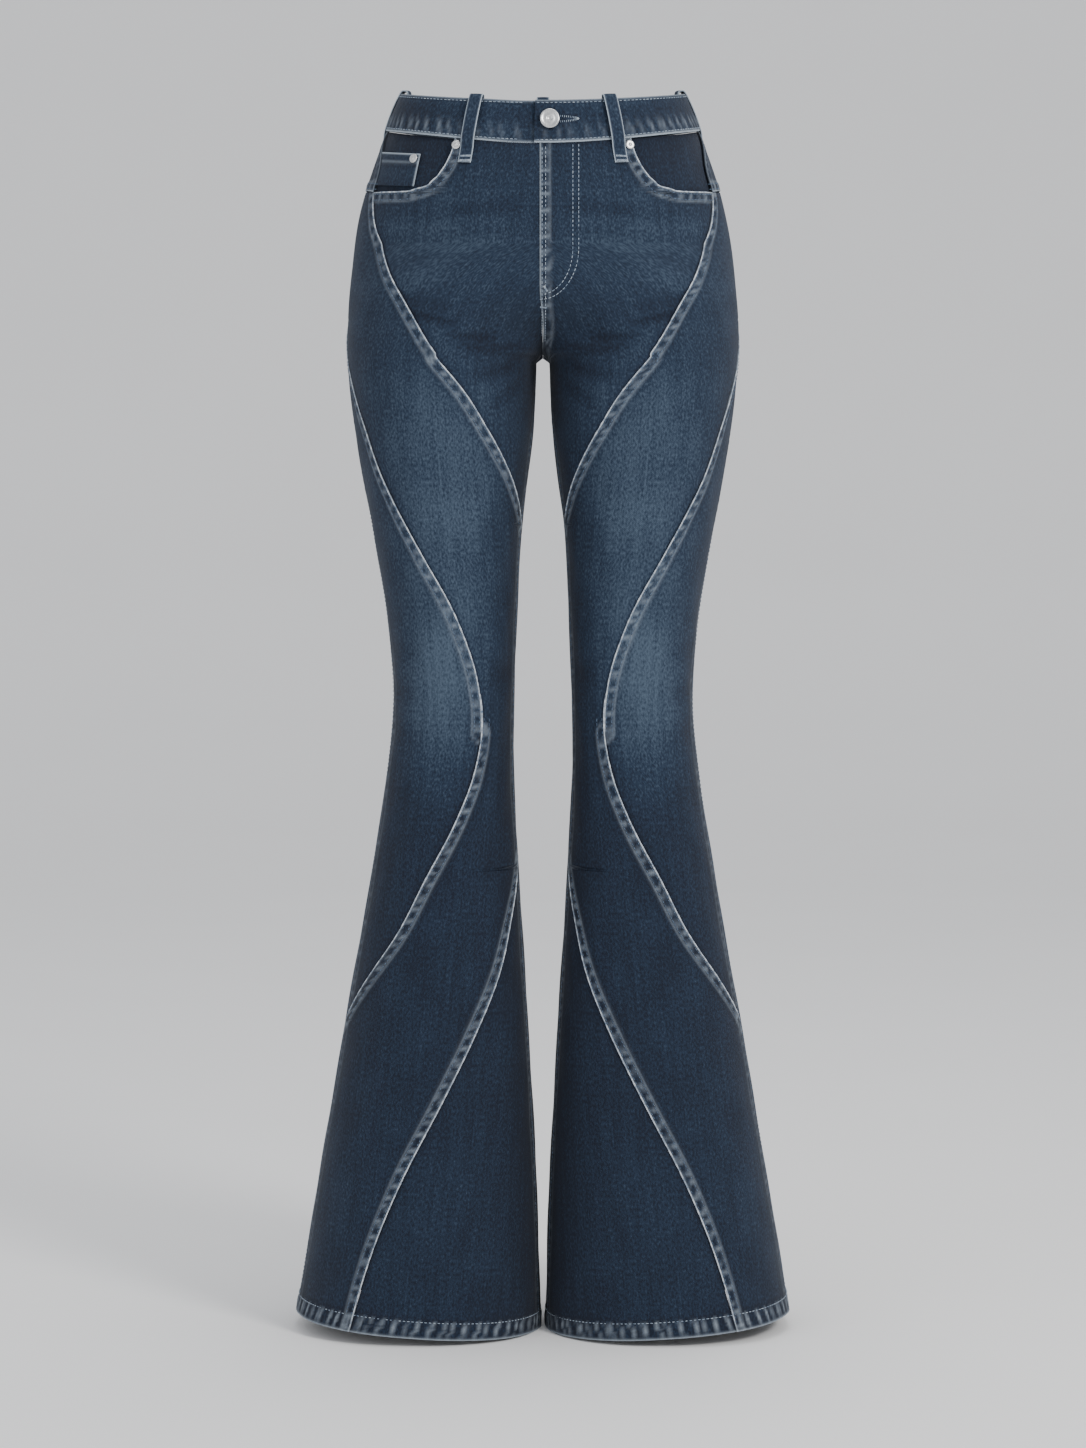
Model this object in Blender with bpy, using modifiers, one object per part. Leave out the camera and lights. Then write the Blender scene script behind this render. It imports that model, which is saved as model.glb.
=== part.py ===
"""Flared jeans with curved panel seams, worn and filled out with no wearer.

Each piece that is cut and sewn is one closed wall. All of them lie on one smooth form, whose sizes are the
tables below. X runs to the wearer's left, the front faces -Y, Z is up, and the origin is the waist centre.
Heights are measured up from the hem. Angles turn round a leg or the hips from the front (0 degrees)
past the outer side (90) to the back (180); the inseam is near -90 and 270.
"""
import math

import bmesh
import bpy
import numpy as np
from mathutils import Matrix, Vector

NAME = "flared_jeans"

# ---- Driving sizes, metres -------------------------------------------------------------------------
WAIST_HEIGHT = 1.068     # hem to the middle of the waistband, where the wearer holds the jeans
TOP = 1.086              # hem to the top edge of the waistband, at the sides
CROTCH = 0.855           # hem to the crotch point
WALL = 0.0015            # cloth thickness
HEM_FOLD = 0.017         # height of the turned-up hem
HEM_WALL = 0.0028        # thickness of the turned-up hem
SEAM_GAP = 0.0004        # between neighbouring pieces
LAYER_GAP = 0.0013       # between a piece and the one it lies on or behind, on the smooth form; the flat
                         # facets of the two leave about a third of it
ROUNDNESS = 2.2          # exponent of the cross sections: 2 is an ellipse

FRONT_RISE_REACH = 0.10  # height over which the front crotch curve opens out
BACK_RISE_REACH = 0.13   # the same for the back
CROTCH_ROUND = 0.004     # radius where the two legs part
FLY_EDGE = -0.003        # the fly's edge lies this far to the wearer's right of the centre
FLY_END = 0.915          # height where the fly opening stops
WAIST_DIP = 0.0165       # the waist is this much lower at the front than at the sides
WAIST_LIFT = 0.0055      # and this much higher at the back
WAIST_DIP_START = 0.80   # height where that dip begins
HEM_TILT = 0.0075        # the outer side of the hem is this much higher than its middle
HEM_TILT_REACH = 0.30
INSEAM_TURN = 12         # degrees that the inseam lies in front of the innermost line
POCKET_END = 1.000       # height where the scoop pocket meets the side

# One row for each cross section: outermost X, depth in front of and behind the middle line, and that line's Y.
SECTIONS = np.array([
    # height, outer, front, back, middle
    (0.000, 0.2205, 0.098, 0.098, 0.006),
    (0.100, 0.2040, 0.091, 0.092, 0.005),
    (0.250, 0.1792, 0.078, 0.080, 0.002),
    (0.400, 0.1525, 0.064, 0.068, -0.001),
    (0.480, 0.1395, 0.058, 0.063, -0.002),
    (0.550, 0.1325, 0.057, 0.060, -0.003),
    (0.620, 0.1368, 0.062, 0.062, -0.001),
    (0.700, 0.1500, 0.073, 0.069, 0.003),
    (0.780, 0.1648, 0.085, 0.082, 0.008),
    (0.860, 0.1730, 0.094, 0.102, 0.010),
    (0.930, 0.1690, 0.099, 0.115, 0.006),
    (0.990, 0.1590, 0.099, 0.112, 0.002),
    (1.040, 0.1425, 0.094, 0.101, 0.000),
    (1.070, 0.1310, 0.089, 0.094, 0.000),
    (1.086, 0.1240, 0.087, 0.091, 0.000),
])
# Innermost X of each leg.
INSIDE = np.array([
    # height, inner
    (0.00, 0.0020),
    (0.10, 0.0045),
    (0.25, 0.0122),
    (0.40, 0.0213),
    (0.50, 0.0260),
    (0.57, 0.0248),
    (0.64, 0.0222),
    (0.70, 0.0190),
    (0.75, 0.0130),
    (0.79, 0.0085),
    (0.855, 0.0060),
])
# The curved seams of the front, from the lowest point up.
SEAM_A = np.array([
    # height, angle
    (0.705, -78),
    (0.722, -67),
    (0.754, -48),
    (0.788, -30),
    (0.823, -14),
    (0.858, 5),
    (0.895, 24.5),
    (0.931, 44),
    (0.967, 59),
    (1.002, 68),
])
SEAM_B = np.array([
    # height, angle
    (0.266, 78),
    (0.300, 57),
    (0.345, 33),
    (0.400, 13),
    (0.450, -8),
    (0.490, -22),
    (0.530, -28),
    (0.570, -23.5),
    (0.620, -7.5),
    (0.680, 19),
    (0.740, 42.5),
    (0.800, 58.5),
    (0.850, 76),
    (0.890, 97),
])
SEAM_C = np.array([
    # height, angle
    (0.000, 31),
    (0.040, 27.5),
    (0.090, 21),
    (0.145, 10),
    (0.198, -5),
    (0.264, -26),
    (0.322, -46),
    (0.358, -57),
    (0.410, -78),
])
SIDE_SEAM = np.array([
    # height, angle
    (0.00, 78),
    (0.55, 78),
    (0.66, 84),
    (0.75, 94),
    (0.85, 97),
    (1.00, 97),
])
# Side seam above the pocket, between the pocket facing and the yoke.
POCKET_SIDE = np.array([
    # height, angle
    (1.000, 68),
    (1.028, 72),
    (1.056, 92),
])
POCKET_EDGE = np.array([
    # height, angle
    (1.0000, 68),
    (1.0012, 53),
    (1.0047, 43),
    (1.0130, 37),
    (1.0220, 34.5),
    (1.0330, 32.8),
    (1.0550, 31.8),
])
# The yoke seam, from the side to the centre of the back.
YOKE_SEAM = np.array([
    # angle, height
    (60, 1.000),
    (97, 1.000),
    (125, 0.990),
    (180, 0.962),
    (220, 0.955),
])

# Heights of the rows of points that all the panels share, closest where the legs part.
ROWS = (
    0.000, 0.017, 0.018, 0.065, 0.115, 0.170, 0.225, 0.275, 0.317, 0.360, 0.403, 0.447, 0.490,
    0.530, 0.570, 0.610, 0.650, 0.680, 0.710, 0.745, 0.780, 0.812, 0.838, 0.851, 0.855,
    0.858, 0.865, 0.880, 0.900, 0.928, 0.958, 0.981,
)
POCKET_ROWS = (1.0006, 1.0020, 1.0045, 1.013, 1.023, 1.037)

MATERIALS = {
    # name: (colour, roughness, metallic)
    "denim": ((0.045, 0.085, 0.165, 1.0), 0.85, 0.0),
    "denim_light": ((0.085, 0.135, 0.225, 1.0), 0.85, 0.0),
    "denim_dark": ((0.022, 0.045, 0.095, 1.0), 0.88, 0.0),
    "brushed_steel": ((0.62, 0.62, 0.60, 1.0), 0.35, 1.0),
}


# ---- The form --------------------------------------------------------------------------------------
def through(table, at, column=1):
    """Value at a height on the smooth curve through a table's rows."""
    keys, values = table[:, 0], table[:, column]
    at = np.asarray(at, float)
    slopes = np.gradient(values, keys)
    i = np.clip(np.searchsorted(keys, at) - 1, 0, len(keys) - 2)
    step = keys[i + 1] - keys[i]
    t = np.clip((at - keys[i]) / step, 0, 1)
    start = (1 + 2 * t) * (1 - t) ** 2 * values[i] + t * (1 - t) ** 2 * step * slopes[i]
    end = t * t * (3 - 2 * t) * values[i + 1] + t * t * (t - 1) * step * slopes[i + 1]
    return start + end


def ease(t):
    t = np.clip(t, 0, 1)
    return t * t * (3 - 2 * t)


def opening(height, reach):
    """How far the crotch curve has opened out at a height: 0 at the crotch point, 1 at its full depth."""
    rise = np.clip((height - CROTCH) / reach, 0, 1)
    return (1 - (1 - rise) ** 2) ** 0.7


def ring(height):
    """The cross section at a height: half-width, centre, how far the centre cut lies out, crotch openings."""
    outer = through(SECTIONS, height, 1)
    parted = np.clip((CROTCH - height) / CROTCH_ROUND, 0, 1)
    inner = through(INSIDE, height) * np.sqrt(1 - (1 - parted) ** 2)
    front_open = opening(height, FRONT_RISE_REACH)
    back_open = opening(height, BACK_RISE_REACH)
    cut = np.clip(1 - front_open ** ROUNDNESS, 0, 1) ** (1 / ROUNDNESS)
    is_leg = height < CROTCH
    half_width = np.where(is_leg, (outer - inner) / 2, outer / (1 + cut))
    centre = np.where(is_leg, (outer + inner) / 2, cut * outer / (1 + cut))
    return half_width, centre, cut, front_open, back_open


def form(height, angle):
    """Points of the cloth's outer surface on the wearer's left; height in metres, angle in degrees."""
    height, angle = np.broadcast_arrays(np.asarray(height, float), np.radians(angle))
    half_width, centre, cut, front_open, back_open = ring(height)
    sine, cosine = np.sin(angle), np.cos(angle)
    radius = (np.abs(sine) ** ROUNDNESS + np.abs(cosine) ** ROUNDNESS) ** (-1 / ROUNDNESS)
    across = radius * sine
    depth = radius * cosine
    x = centre + half_width * across
    # Between the two thighs, above the crotch, the cloth spans the hollow in a smooth curve.
    spans = (across < 0) & (height > CROTCH) & (cut > 0.01)
    smooth_share = 0.5 - 0.5 * np.cos(np.pi * np.clip(x / np.maximum(centre, 1e-6), 0, 1))
    round_share = (np.abs(depth) - front_open) / np.maximum(1 - front_open, 1e-6)
    blend = ease((front_open - 0.15) / 0.6)
    share = blend * smooth_share + (1 - blend) * round_share
    at_centre = np.where(depth > 0, front_open, back_open)
    depth = np.where(spans, np.sign(depth) * (at_centre + (1 - at_centre) * share), depth)
    reach = np.where(depth > 0, through(SECTIONS, height, 2), through(SECTIONS, height, 3))
    y = through(SECTIONS, height, 4) - reach * depth
    dip = (WAIST_DIP + WAIST_LIFT) / 2 * cosine + (WAIST_DIP - WAIST_LIFT) / 2 * cosine ** 2
    z = height - WAIST_HEIGHT
    z = z - dip * ease((height - WAIST_DIP_START) / (TOP - WAIST_DIP_START))
    z = z + HEM_TILT * sine * (1 - ease(height / HEM_TILT_REACH))
    return np.stack([x, y, z], axis=-1)


def outward(height, angle):
    """Unit normals of the form, facing out."""
    height, angle = np.broadcast_arrays(np.asarray(height, float), np.asarray(angle, float))
    up, round_ = 0.0006, 0.4
    rise = form(height + up, angle) - form(height - up, angle)
    turn = form(height, angle + round_) - form(height, angle - round_)
    normal = np.cross(turn, rise)
    return normal / np.linalg.norm(normal, axis=-1, keepdims=True)


def raised(height, angle, out):
    """A point that lies out from the form along its normal."""
    return form(height, angle) + np.asarray(out, float)[..., None] * outward(height, angle)


def angle_at(height, x):
    """Angle of the front of the form where it crosses a given X."""
    half_width, centre, *_ = ring(height)
    across = np.clip((x - centre) / half_width, -1, 1)
    depth = (1 - np.abs(across) ** ROUNDNESS) ** (1 / ROUNDNESS)
    return np.degrees(np.arctan2(across, depth))


def gap_angle(height, edge):
    """Half a seam gap as an angle, at an edge given by a function of height."""
    half_width, *_ = ring(height)
    slope = half_width * np.radians(edge(height + 0.004) - edge(height - 0.004)) / 0.008
    return np.degrees(SEAM_GAP / 2 * np.sqrt(1 + np.minimum(slope ** 2, 9)) / half_width)


def inseam(height):
    return -90 + INSEAM_TURN * np.clip((CROTCH - height) / 0.08, 0, 1)


def centre_front(height, side):
    """Angle of the front edge of a panel: the fly's edge, the crotch seam, or the inseam below it."""
    fly = FLY_EDGE * ease((height - CROTCH - 0.02) / (FLY_END - CROTCH - 0.02))
    edge = angle_at(height, side * fly + SEAM_GAP / 2)
    return np.where(height > CROTCH, edge, inseam(height) + gap_angle(height, inseam))


def centre_back(height):
    """Angle of the back edge of a panel: the seat seam, or the inseam below it."""
    edge = 180 - angle_at(height, SEAM_GAP / 2)
    return np.where(height > CROTCH, edge, 360 + inseam(height) - gap_angle(height, inseam))


def band_seam(angle):
    """Height of the seam under the waistband, a little lower at the centre front and back."""
    return 1.0535 - 0.0055 * np.cos(np.radians(angle)) ** 4


def seam_a(height):
    return through(SEAM_A, height)


def seam_b(height):
    return through(SEAM_B, height)


def seam_c(height):
    return through(SEAM_C, height)


def side_seam(height):
    return through(SIDE_SEAM, height)


def before(edge):
    """The seam as the last line of the panel that comes before it."""
    return lambda height: edge(height) - gap_angle(height, edge)


def after(edge):
    """The seam as the first line of the panel that comes after it."""
    return lambda height: edge(height) + gap_angle(height, edge)


# ---- Making solids ---------------------------------------------------------------------------------
def fresh_scene():
    for old in list(bpy.data.objects):
        bpy.data.objects.remove(old, do_unlink=True)
    parts = bpy.data.collections.new(NAME)
    bpy.context.scene.collection.children.link(parts)
    return parts


def material(name):
    found = bpy.data.materials.get(name)
    if found:
        return found
    colour, roughness, metallic = MATERIALS[name]
    made = bpy.data.materials.new(name)
    made.use_nodes = True
    shader = made.node_tree.nodes["Principled BSDF"]
    shader.inputs["Base Color"].default_value = colour
    shader.inputs["Roughness"].default_value = roughness
    shader.inputs["Metallic"].default_value = metallic
    made.diffuse_color = colour
    return made


def add_object(parts, name, mesh, material_name, smooth=True):
    mesh.materials.append(material(material_name))
    for face in mesh.polygons:
        face.use_smooth = smooth
    made = bpy.data.objects.new(name, mesh)
    parts.objects.link(made)
    return made


def wall(parts, name, outer, inner, side, material_name):
    """A closed wall between two equal grids of points; side -1 mirrors it to the wearer's right."""
    rows, columns = outer.shape[:2]
    mesh = bmesh.new()
    faces = []
    for grid in (outer, inner):
        points = grid * (side, 1, 1)
        faces.append([[mesh.verts.new(points[i, j]) for j in range(columns)] for i in range(rows)])
    front, back = faces
    for i in range(rows - 1):
        for j in range(columns - 1):
            mesh.faces.new((front[i][j], front[i][j + 1], front[i + 1][j + 1], front[i + 1][j]))
            mesh.faces.new((back[i][j], back[i + 1][j], back[i + 1][j + 1], back[i][j + 1]))
    border = [(0, j) for j in range(columns - 1)]
    border += [(i, columns - 1) for i in range(rows - 1)]
    border += [(rows - 1, j) for j in range(columns - 1, 0, -1)]
    border += [(i, 0) for i in range(rows - 1, 0, -1)]
    for (i, j), (k, l) in zip(border, border[1:] + border[:1]):
        mesh.faces.new((front[k][l], front[i][j], back[i][j], back[k][l]))
    bmesh.ops.recalc_face_normals(mesh, faces=mesh.faces)
    data = bpy.data.meshes.new(name)
    mesh.to_mesh(data)
    mesh.free()
    return add_object(parts, name, data, material_name, smooth=False)


def sheet(parts, name, heights, angles, side, out=0.0, thickness=WALL, material_name="denim"):
    """A wall on the form, from grids of heights and angles, lying a given distance out from it."""
    heights, angles, out = np.broadcast_arrays(heights, angles, np.asarray(out, float))
    thickness = np.broadcast_to(np.asarray(thickness, float), heights.shape)
    outer = raised(heights, angles, out)
    inner = raised(heights, angles, out - thickness)
    return wall(parts, name, outer, inner, side, material_name)


def spread(low, high, count):
    """Evenly spaced columns between two edges given for each row."""
    low, high = np.asarray(low, float), np.asarray(high, float)
    return low[:, None] + (high - low)[:, None] * np.linspace(0, 1, count + 1)


def hem_thickness(heights):
    return np.where(heights <= HEM_FOLD + 1e-6, HEM_WALL, WALL)


def rows_between(low, high):
    return np.array([row for row in ROWS if low - 1e-6 <= row <= high + 1e-6])


def side_name(side):
    return "left" if side > 0 else "right"


# ---- The panels of each leg ------------------------------------------------------------------------
def front_upper(parts, side):
    rows = rows_between(0.710, 0.981)
    top_angle = float(through(POCKET_EDGE, 1.055))
    heights = np.concatenate([rows, [POCKET_END - SEAM_GAP / 2], POCKET_ROWS])
    low = centre_front(heights, side)
    pocket = through(POCKET_EDGE, heights)
    high = np.where(heights < POCKET_END, before(seam_a)(heights), pocket)
    angles = spread(low, high, 7)
    grid = np.repeat(heights[:, None], 8, axis=1)
    top_height = np.full(1, float(band_seam(0)))
    top = spread(centre_front(top_height, side), [top_angle], 7)
    angles = np.concatenate([angles, top])
    grid = np.concatenate([grid, band_seam(top) - SEAM_GAP / 2])
    sheet(parts, f"front_upper_{side_name(side)}", grid, angles, side)


def front_sweep(parts, side):
    rows = np.append(rows_between(0, 0.981), POCKET_END - SEAM_GAP / 2)
    inner_edge = inseam(rows) + gap_angle(rows, inseam)
    low = np.where(rows < 0.4035, after(seam_c)(rows), np.where(rows < 0.7095, inner_edge, after(seam_a)(rows)))
    on_side = before(side_seam)(rows)
    beside_knee = (rows > 0.2745) & (rows < 0.8805)
    high = np.where(beside_knee, before(seam_b)(rows), on_side)
    angles = spread(low, high, 5)
    grid = np.repeat(rows[:, None], 6, axis=1)
    sheet(parts, f"front_sweep_{side_name(side)}", grid, angles, side, thickness=hem_thickness(grid))


def front_knee(parts, side):
    rows = rows_between(0.275, 0.880)
    angles = spread(after(seam_b)(rows), before(side_seam)(rows), 4)
    grid = np.repeat(rows[:, None], 5, axis=1)
    sheet(parts, f"front_knee_{side_name(side)}", grid, angles, side, material_name="denim_light")


def front_gore(parts, side):
    rows = rows_between(0, 0.403)
    angles = spread(inseam(rows) + gap_angle(rows, inseam), before(seam_c)(rows), 4)
    grid = np.repeat(rows[:, None], 5, axis=1)
    sheet(
        parts, f"front_gore_{side_name(side)}", grid, angles, side,
        thickness=hem_thickness(grid), material_name="denim_dark",
    )


def back_leg(parts, side):
    rows = rows_between(0, 0.928)
    angles = spread(after(side_seam)(rows), centre_back(rows), 10)
    grid = np.repeat(rows[:, None], 11, axis=1)
    last = rows[-1]
    for share in (0.5, 1.0):
        ends = last + share * (through(YOKE_SEAM, [97.0, 180.0]) - last)
        turn = spread(after(side_seam)(ends[:1]), centre_back(ends[1:]), 10)
        seam = through(YOKE_SEAM, turn) - SEAM_GAP / 2
        grid = np.concatenate([grid, last + share * (seam - last)])
        angles = np.concatenate([angles, turn])
    sheet(
        parts, f"back_leg_{side_name(side)}", grid, angles, side,
        thickness=hem_thickness(grid), material_name="denim",
    )


def back_yoke(parts, side):
    rows = []
    turns = []
    for share in (0.0, 0.34, 0.67, 1.0):
        front = float(after(lambda height: through(POCKET_SIDE, height))(1.0005 + share * 0.0525))
        back = float(centre_back(np.array(1.0)))
        turn = front + (back - front) * np.linspace(0, 1, 11)
        low = through(YOKE_SEAM, turn) + SEAM_GAP / 2
        high = band_seam(turn) - SEAM_GAP / 2
        turns.append(turn)
        rows.append(low + share * (high - low))
    sheet(
        parts, f"back_yoke_{side_name(side)}", np.array(rows), np.array(turns), side,
        material_name="denim_light",
    )


FACING_OUT = -0.0034     # the facing's outer side, behind the front


def pocket_facing(parts, side):
    """The denim behind the scoop pocket's opening, one layer in from the front."""
    low, columns = 0.984, 8
    heights = np.array([low, POCKET_END, 1.014, 1.028, 1.041])
    edge = np.where(heights <= POCKET_END, 65.0, before(lambda height: through(POCKET_SIDE, height))(heights))
    angles = spread(np.full(len(heights), 27.0), edge, columns)
    grid = np.repeat(heights[:, None], columns + 1, axis=1)
    top_edge = float(before(lambda height: through(POCKET_SIDE, height))(1.0535))
    top = spread([27.0], [top_edge], columns)
    angles = np.concatenate([angles, top])
    grid = np.concatenate([grid, band_seam(top) - SEAM_GAP / 2])
    sheet(
        parts, f"pocket_facing_{side_name(side)}", grid, angles, side,
        out=FACING_OUT, material_name="denim_dark",
    )


def back_pocket(parts, side):
    """A plain patch pocket on the seat: straight top, sides that narrow a little, pointed bottom."""
    width, height, narrower, point = 0.128, 0.150, 0.008, 0.018
    middle, top_height, tilt = 146.0, 0.968, 0.004
    radius = 0.150
    columns = 9
    share = np.linspace(-1, 1, columns + 1)
    rows = []
    turns = []
    for down in np.linspace(1, 0, 8):
        half = (width / 2 - narrower * down) * share
        drop = down * (height - point) + point * ease(down) * (1 - np.abs(share))
        rows.append(top_height - tilt * share - drop)
        turns.append(middle + np.degrees(half / radius))
    sheet(
        parts, f"back_pocket_{side_name(side)}", np.array(rows), np.array(turns), side,
        out=WALL + LAYER_GAP, material_name="denim_light",
    )


# ---- The pieces that come once ---------------------------------------------------------------------
BAND_OUT = 0.0010        # the waistband stands this far out from the panels below it
BAND_WALL = 0.0026
OVERLAP_START = -3.1     # angle of the waistband's outer end, just past the fly's edge
UNDERLAP_END = 373.0     # angle of its hidden end, behind the button
LAP_RAMP = (336.0, 353.0)  # where the underlap moves in behind the overlap


def waistband(parts):
    turn = np.concatenate([
        np.linspace(OVERLAP_START, LAP_RAMP[0], 38),
        np.linspace(LAP_RAMP[0], LAP_RAMP[1], 4)[1:],
        np.linspace(LAP_RAMP[1], UNDERLAP_END, 4)[1:],
    ])
    seam = band_seam(turn) + SEAM_GAP / 2
    heights = np.array([seam, (seam + TOP) / 2, np.full(len(turn), TOP)])
    inward = (BAND_WALL + LAYER_GAP) * ease((turn - LAP_RAMP[0]) / (LAP_RAMP[1] - LAP_RAMP[0]))
    out = BAND_OUT - inward
    sheet(parts, "waistband", heights, turn[None, :], 1, out=out[None, :], thickness=BAND_WALL)


def fly_shield(parts):
    """The strip behind the fly opening, one layer in from the fronts."""
    heights = np.array([0.958, 0.981, 1.000, 1.020, 1.046])
    low = angle_at(heights, -0.012)
    high = angle_at(heights, 0.033)
    grid = np.repeat(heights[:, None], 5, axis=1)
    sheet(
        parts, "fly_shield", grid, spread(low, high, 4), 1,
        out=-(WALL + LAYER_GAP), material_name="denim_dark",
    )


COIN_WALL = 0.0011       # the coin pocket is thin enough to fit between the facing and the front
COIN_OUT = FACING_OUT + 0.0007 + COIN_WALL


def coin_pocket(parts):
    """The small pocket that lies on the right facing, above the scoop pocket's edge."""
    heights = np.array([1.0062, 1.016, 1.026, 1.036])
    side_line = through(POCKET_SIDE, heights) - 0.8
    angles = spread(np.array([44.5, 45.0, 45.2, 45.4]), side_line, 4)
    grid = np.repeat(heights[:, None], 5, axis=1)
    sheet(
        parts, "coin_pocket", grid, angles, -1,
        out=COIN_OUT, thickness=COIN_WALL, material_name="denim_light",
    )


LOOP_WIDTH = 0.0115
LOOP_WALL = 0.0018
LOOP_PATH = (
    # height, out: the middle of the strip, from its lower end up over the top edge
    (1.0290, 0.00125),
    (1.0410, 0.00125),
    (1.0470, 0.00300),
    (1.0530, 0.00480),
    (1.0680, 0.00540),
    (1.0800, 0.00480),
    (1.0871, 0.00420),
    (1.0892, 0.00140),
    (1.0890, -0.00160),
    (1.0852, -0.00340),
    (1.0780, -0.00340),
)


def belt_loop(parts, name, angle, side):
    """A folded strip that stands clear of the waistband and is sewn down at both ends."""
    path = np.array(LOOP_PATH)
    along = np.gradient(path, axis=0)
    along /= np.linalg.norm(along, axis=1, keepdims=True)
    across = np.stack([-along[:, 1], along[:, 0]], axis=1) * (LOOP_WALL / 2)
    half_width, *_ = ring(np.minimum(path[:, 0], TOP))
    half = np.degrees(LOOP_WIDTH / 2 / half_width)
    angles = np.stack([angle - half, angle + half], axis=1)
    grids = []
    for line in (path + across, path - across):
        below = np.minimum(line[:, :1], TOP - 0.001)
        rise = form(below, angles) - form(below - 0.001, angles)
        rise /= np.linalg.norm(rise, axis=-1, keepdims=True)
        beyond = (line[:, :1] - below)[..., None] * rise
        grids.append(raised(below, angles, np.repeat(line[:, 1:], 2, axis=1)) + beyond)
    wall(parts, name, grids[0], grids[1], side, "denim_light")


def turned(parts, name, profile, base, facing, side):
    """A round fitting turned from a profile of (radius, height), standing on a point of the cloth."""
    mesh = bmesh.new()
    corners = [mesh.verts.new((radius, 0, height)) for radius, height in profile]
    for lower, upper in zip(corners, corners[1:]):
        mesh.edges.new((lower, upper))
    data = bpy.data.meshes.new(name)
    mesh.to_mesh(data)
    mesh.free()
    made = add_object(parts, name, data, "brushed_steel")
    screw = made.modifiers.new("turn", "SCREW")
    screw.steps = 20
    screw.render_steps = 20
    screw.use_merge_vertices = True
    screw.merge_threshold = 0.00001
    screw.use_normal_calculate = True
    direction = Vector((facing[0] * side, facing[1], facing[2]))
    spin = direction.to_track_quat("Z", "Y").to_matrix().to_4x4()
    made.matrix_world = Matrix.Translation((base[0] * side, base[1], base[2])) @ spin
    return made


BUTTON_PROFILE = (
    # radius, height
    (0.0, 0.0),
    (0.0035, 0.0),
    (0.0035, 0.0014),
    (0.0080, 0.0016),
    (0.0086, 0.0024),
    (0.0082, 0.0036),
    (0.0068, 0.0042),
    (0.0056, 0.0036),
    (0.0020, 0.0036),
    (0.0, 0.0030),
)
RIVET_PROFILE = (
    # radius, height
    (0.0, 0.0),
    (0.0040, 0.0),
    (0.0041, 0.0006),
    (0.0032, 0.0014),
    (0.0014, 0.0017),
    (0.0, 0.0017),
)


def fitting(parts, name, profile, height, angle, out, side):
    base = raised(np.array(height), np.array(angle), np.array(out))
    turned(parts, name, profile, base, outward(np.array(height), np.array(angle)), side)


def main():
    parts = fresh_scene()
    for side in (1, -1):
        for piece in (
            front_upper, front_sweep, front_knee, front_gore,
            pocket_facing, back_leg, back_yoke, back_pocket,
        ):
            piece(parts, side)
    waistband(parts)
    fly_shield(parts)
    coin_pocket(parts)
    for name, angle, side in (
        ("belt_loop_front_left", 26.6, 1),
        ("belt_loop_front_right", 26.6, -1),
        ("belt_loop_side_left", 104.0, 1),
        ("belt_loop_side_right", 104.0, -1),
        ("belt_loop_back", 180.0, 1),
    ):
        belt_loop(parts, name, angle, side)
    fitting(parts, "waist_button", BUTTON_PROFILE, 1.0688, 2.5, BAND_OUT + 0.0004, 1)
    fitting(parts, "rivet_pocket_left", RIVET_PROFILE, 1.0445, 30.9, 0.0004, 1)
    fitting(parts, "rivet_pocket_right", RIVET_PROFILE, 1.0445, 30.9, 0.0004, -1)
    fitting(parts, "rivet_coin", RIVET_PROFILE, 1.0310, 47.8, COIN_OUT + 0.0004, -1)


main()
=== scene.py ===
"""Looks of the flared jeans: washed indigo denim, curved lapped seams, fittings, floor and light.

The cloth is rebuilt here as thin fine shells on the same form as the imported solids, which they replace.
Heights are measured up from the hem; angles turn from the front (0) past the outer side (90) to the back.
"""
import math
from functools import partial

import bpy
import numpy as np
from mathutils import Matrix, Vector
from mathutils.kdtree import KDTree


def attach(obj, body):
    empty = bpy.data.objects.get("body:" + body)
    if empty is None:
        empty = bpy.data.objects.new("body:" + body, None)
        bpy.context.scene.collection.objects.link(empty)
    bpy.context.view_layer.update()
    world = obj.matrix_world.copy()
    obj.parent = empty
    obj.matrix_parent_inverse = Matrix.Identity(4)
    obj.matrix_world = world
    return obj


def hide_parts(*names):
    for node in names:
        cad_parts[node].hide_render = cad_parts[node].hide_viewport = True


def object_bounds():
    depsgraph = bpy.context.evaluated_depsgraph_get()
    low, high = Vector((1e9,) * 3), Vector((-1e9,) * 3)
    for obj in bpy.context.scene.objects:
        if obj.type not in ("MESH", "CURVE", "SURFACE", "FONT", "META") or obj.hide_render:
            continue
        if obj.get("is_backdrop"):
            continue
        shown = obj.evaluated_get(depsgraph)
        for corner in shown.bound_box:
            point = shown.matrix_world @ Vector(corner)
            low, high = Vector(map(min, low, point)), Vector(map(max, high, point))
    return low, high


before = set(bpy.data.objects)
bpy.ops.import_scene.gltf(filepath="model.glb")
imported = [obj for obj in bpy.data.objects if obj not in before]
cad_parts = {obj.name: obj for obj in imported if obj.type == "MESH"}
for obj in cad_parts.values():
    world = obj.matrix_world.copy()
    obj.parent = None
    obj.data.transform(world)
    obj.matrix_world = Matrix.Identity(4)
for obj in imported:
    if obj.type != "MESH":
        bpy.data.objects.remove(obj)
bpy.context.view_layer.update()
RANDOM = np.random.default_rng(7)

# ---- Sizes of the form, metres ----
WAIST_HEIGHT = 1.068
TOP = 1.086
CROTCH = 0.855
ROUNDNESS = 2.2
FRONT_RISE_REACH = 0.10
SPAN_REACH = 0.07
CROTCH_ROUND = 0.004
FLY_EDGE = -0.003
FLY_END = 0.915
WAIST_DIP = 0.0165
WAIST_LIFT = 0.0055
WAIST_DIP_START = 0.80
HEM_TILT = 0.0075
HEM_TILT_REACH = 0.30
INSEAM_TURN = 12
POCKET_END = 1.000
SEAM_GAP = 0.0004

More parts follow.
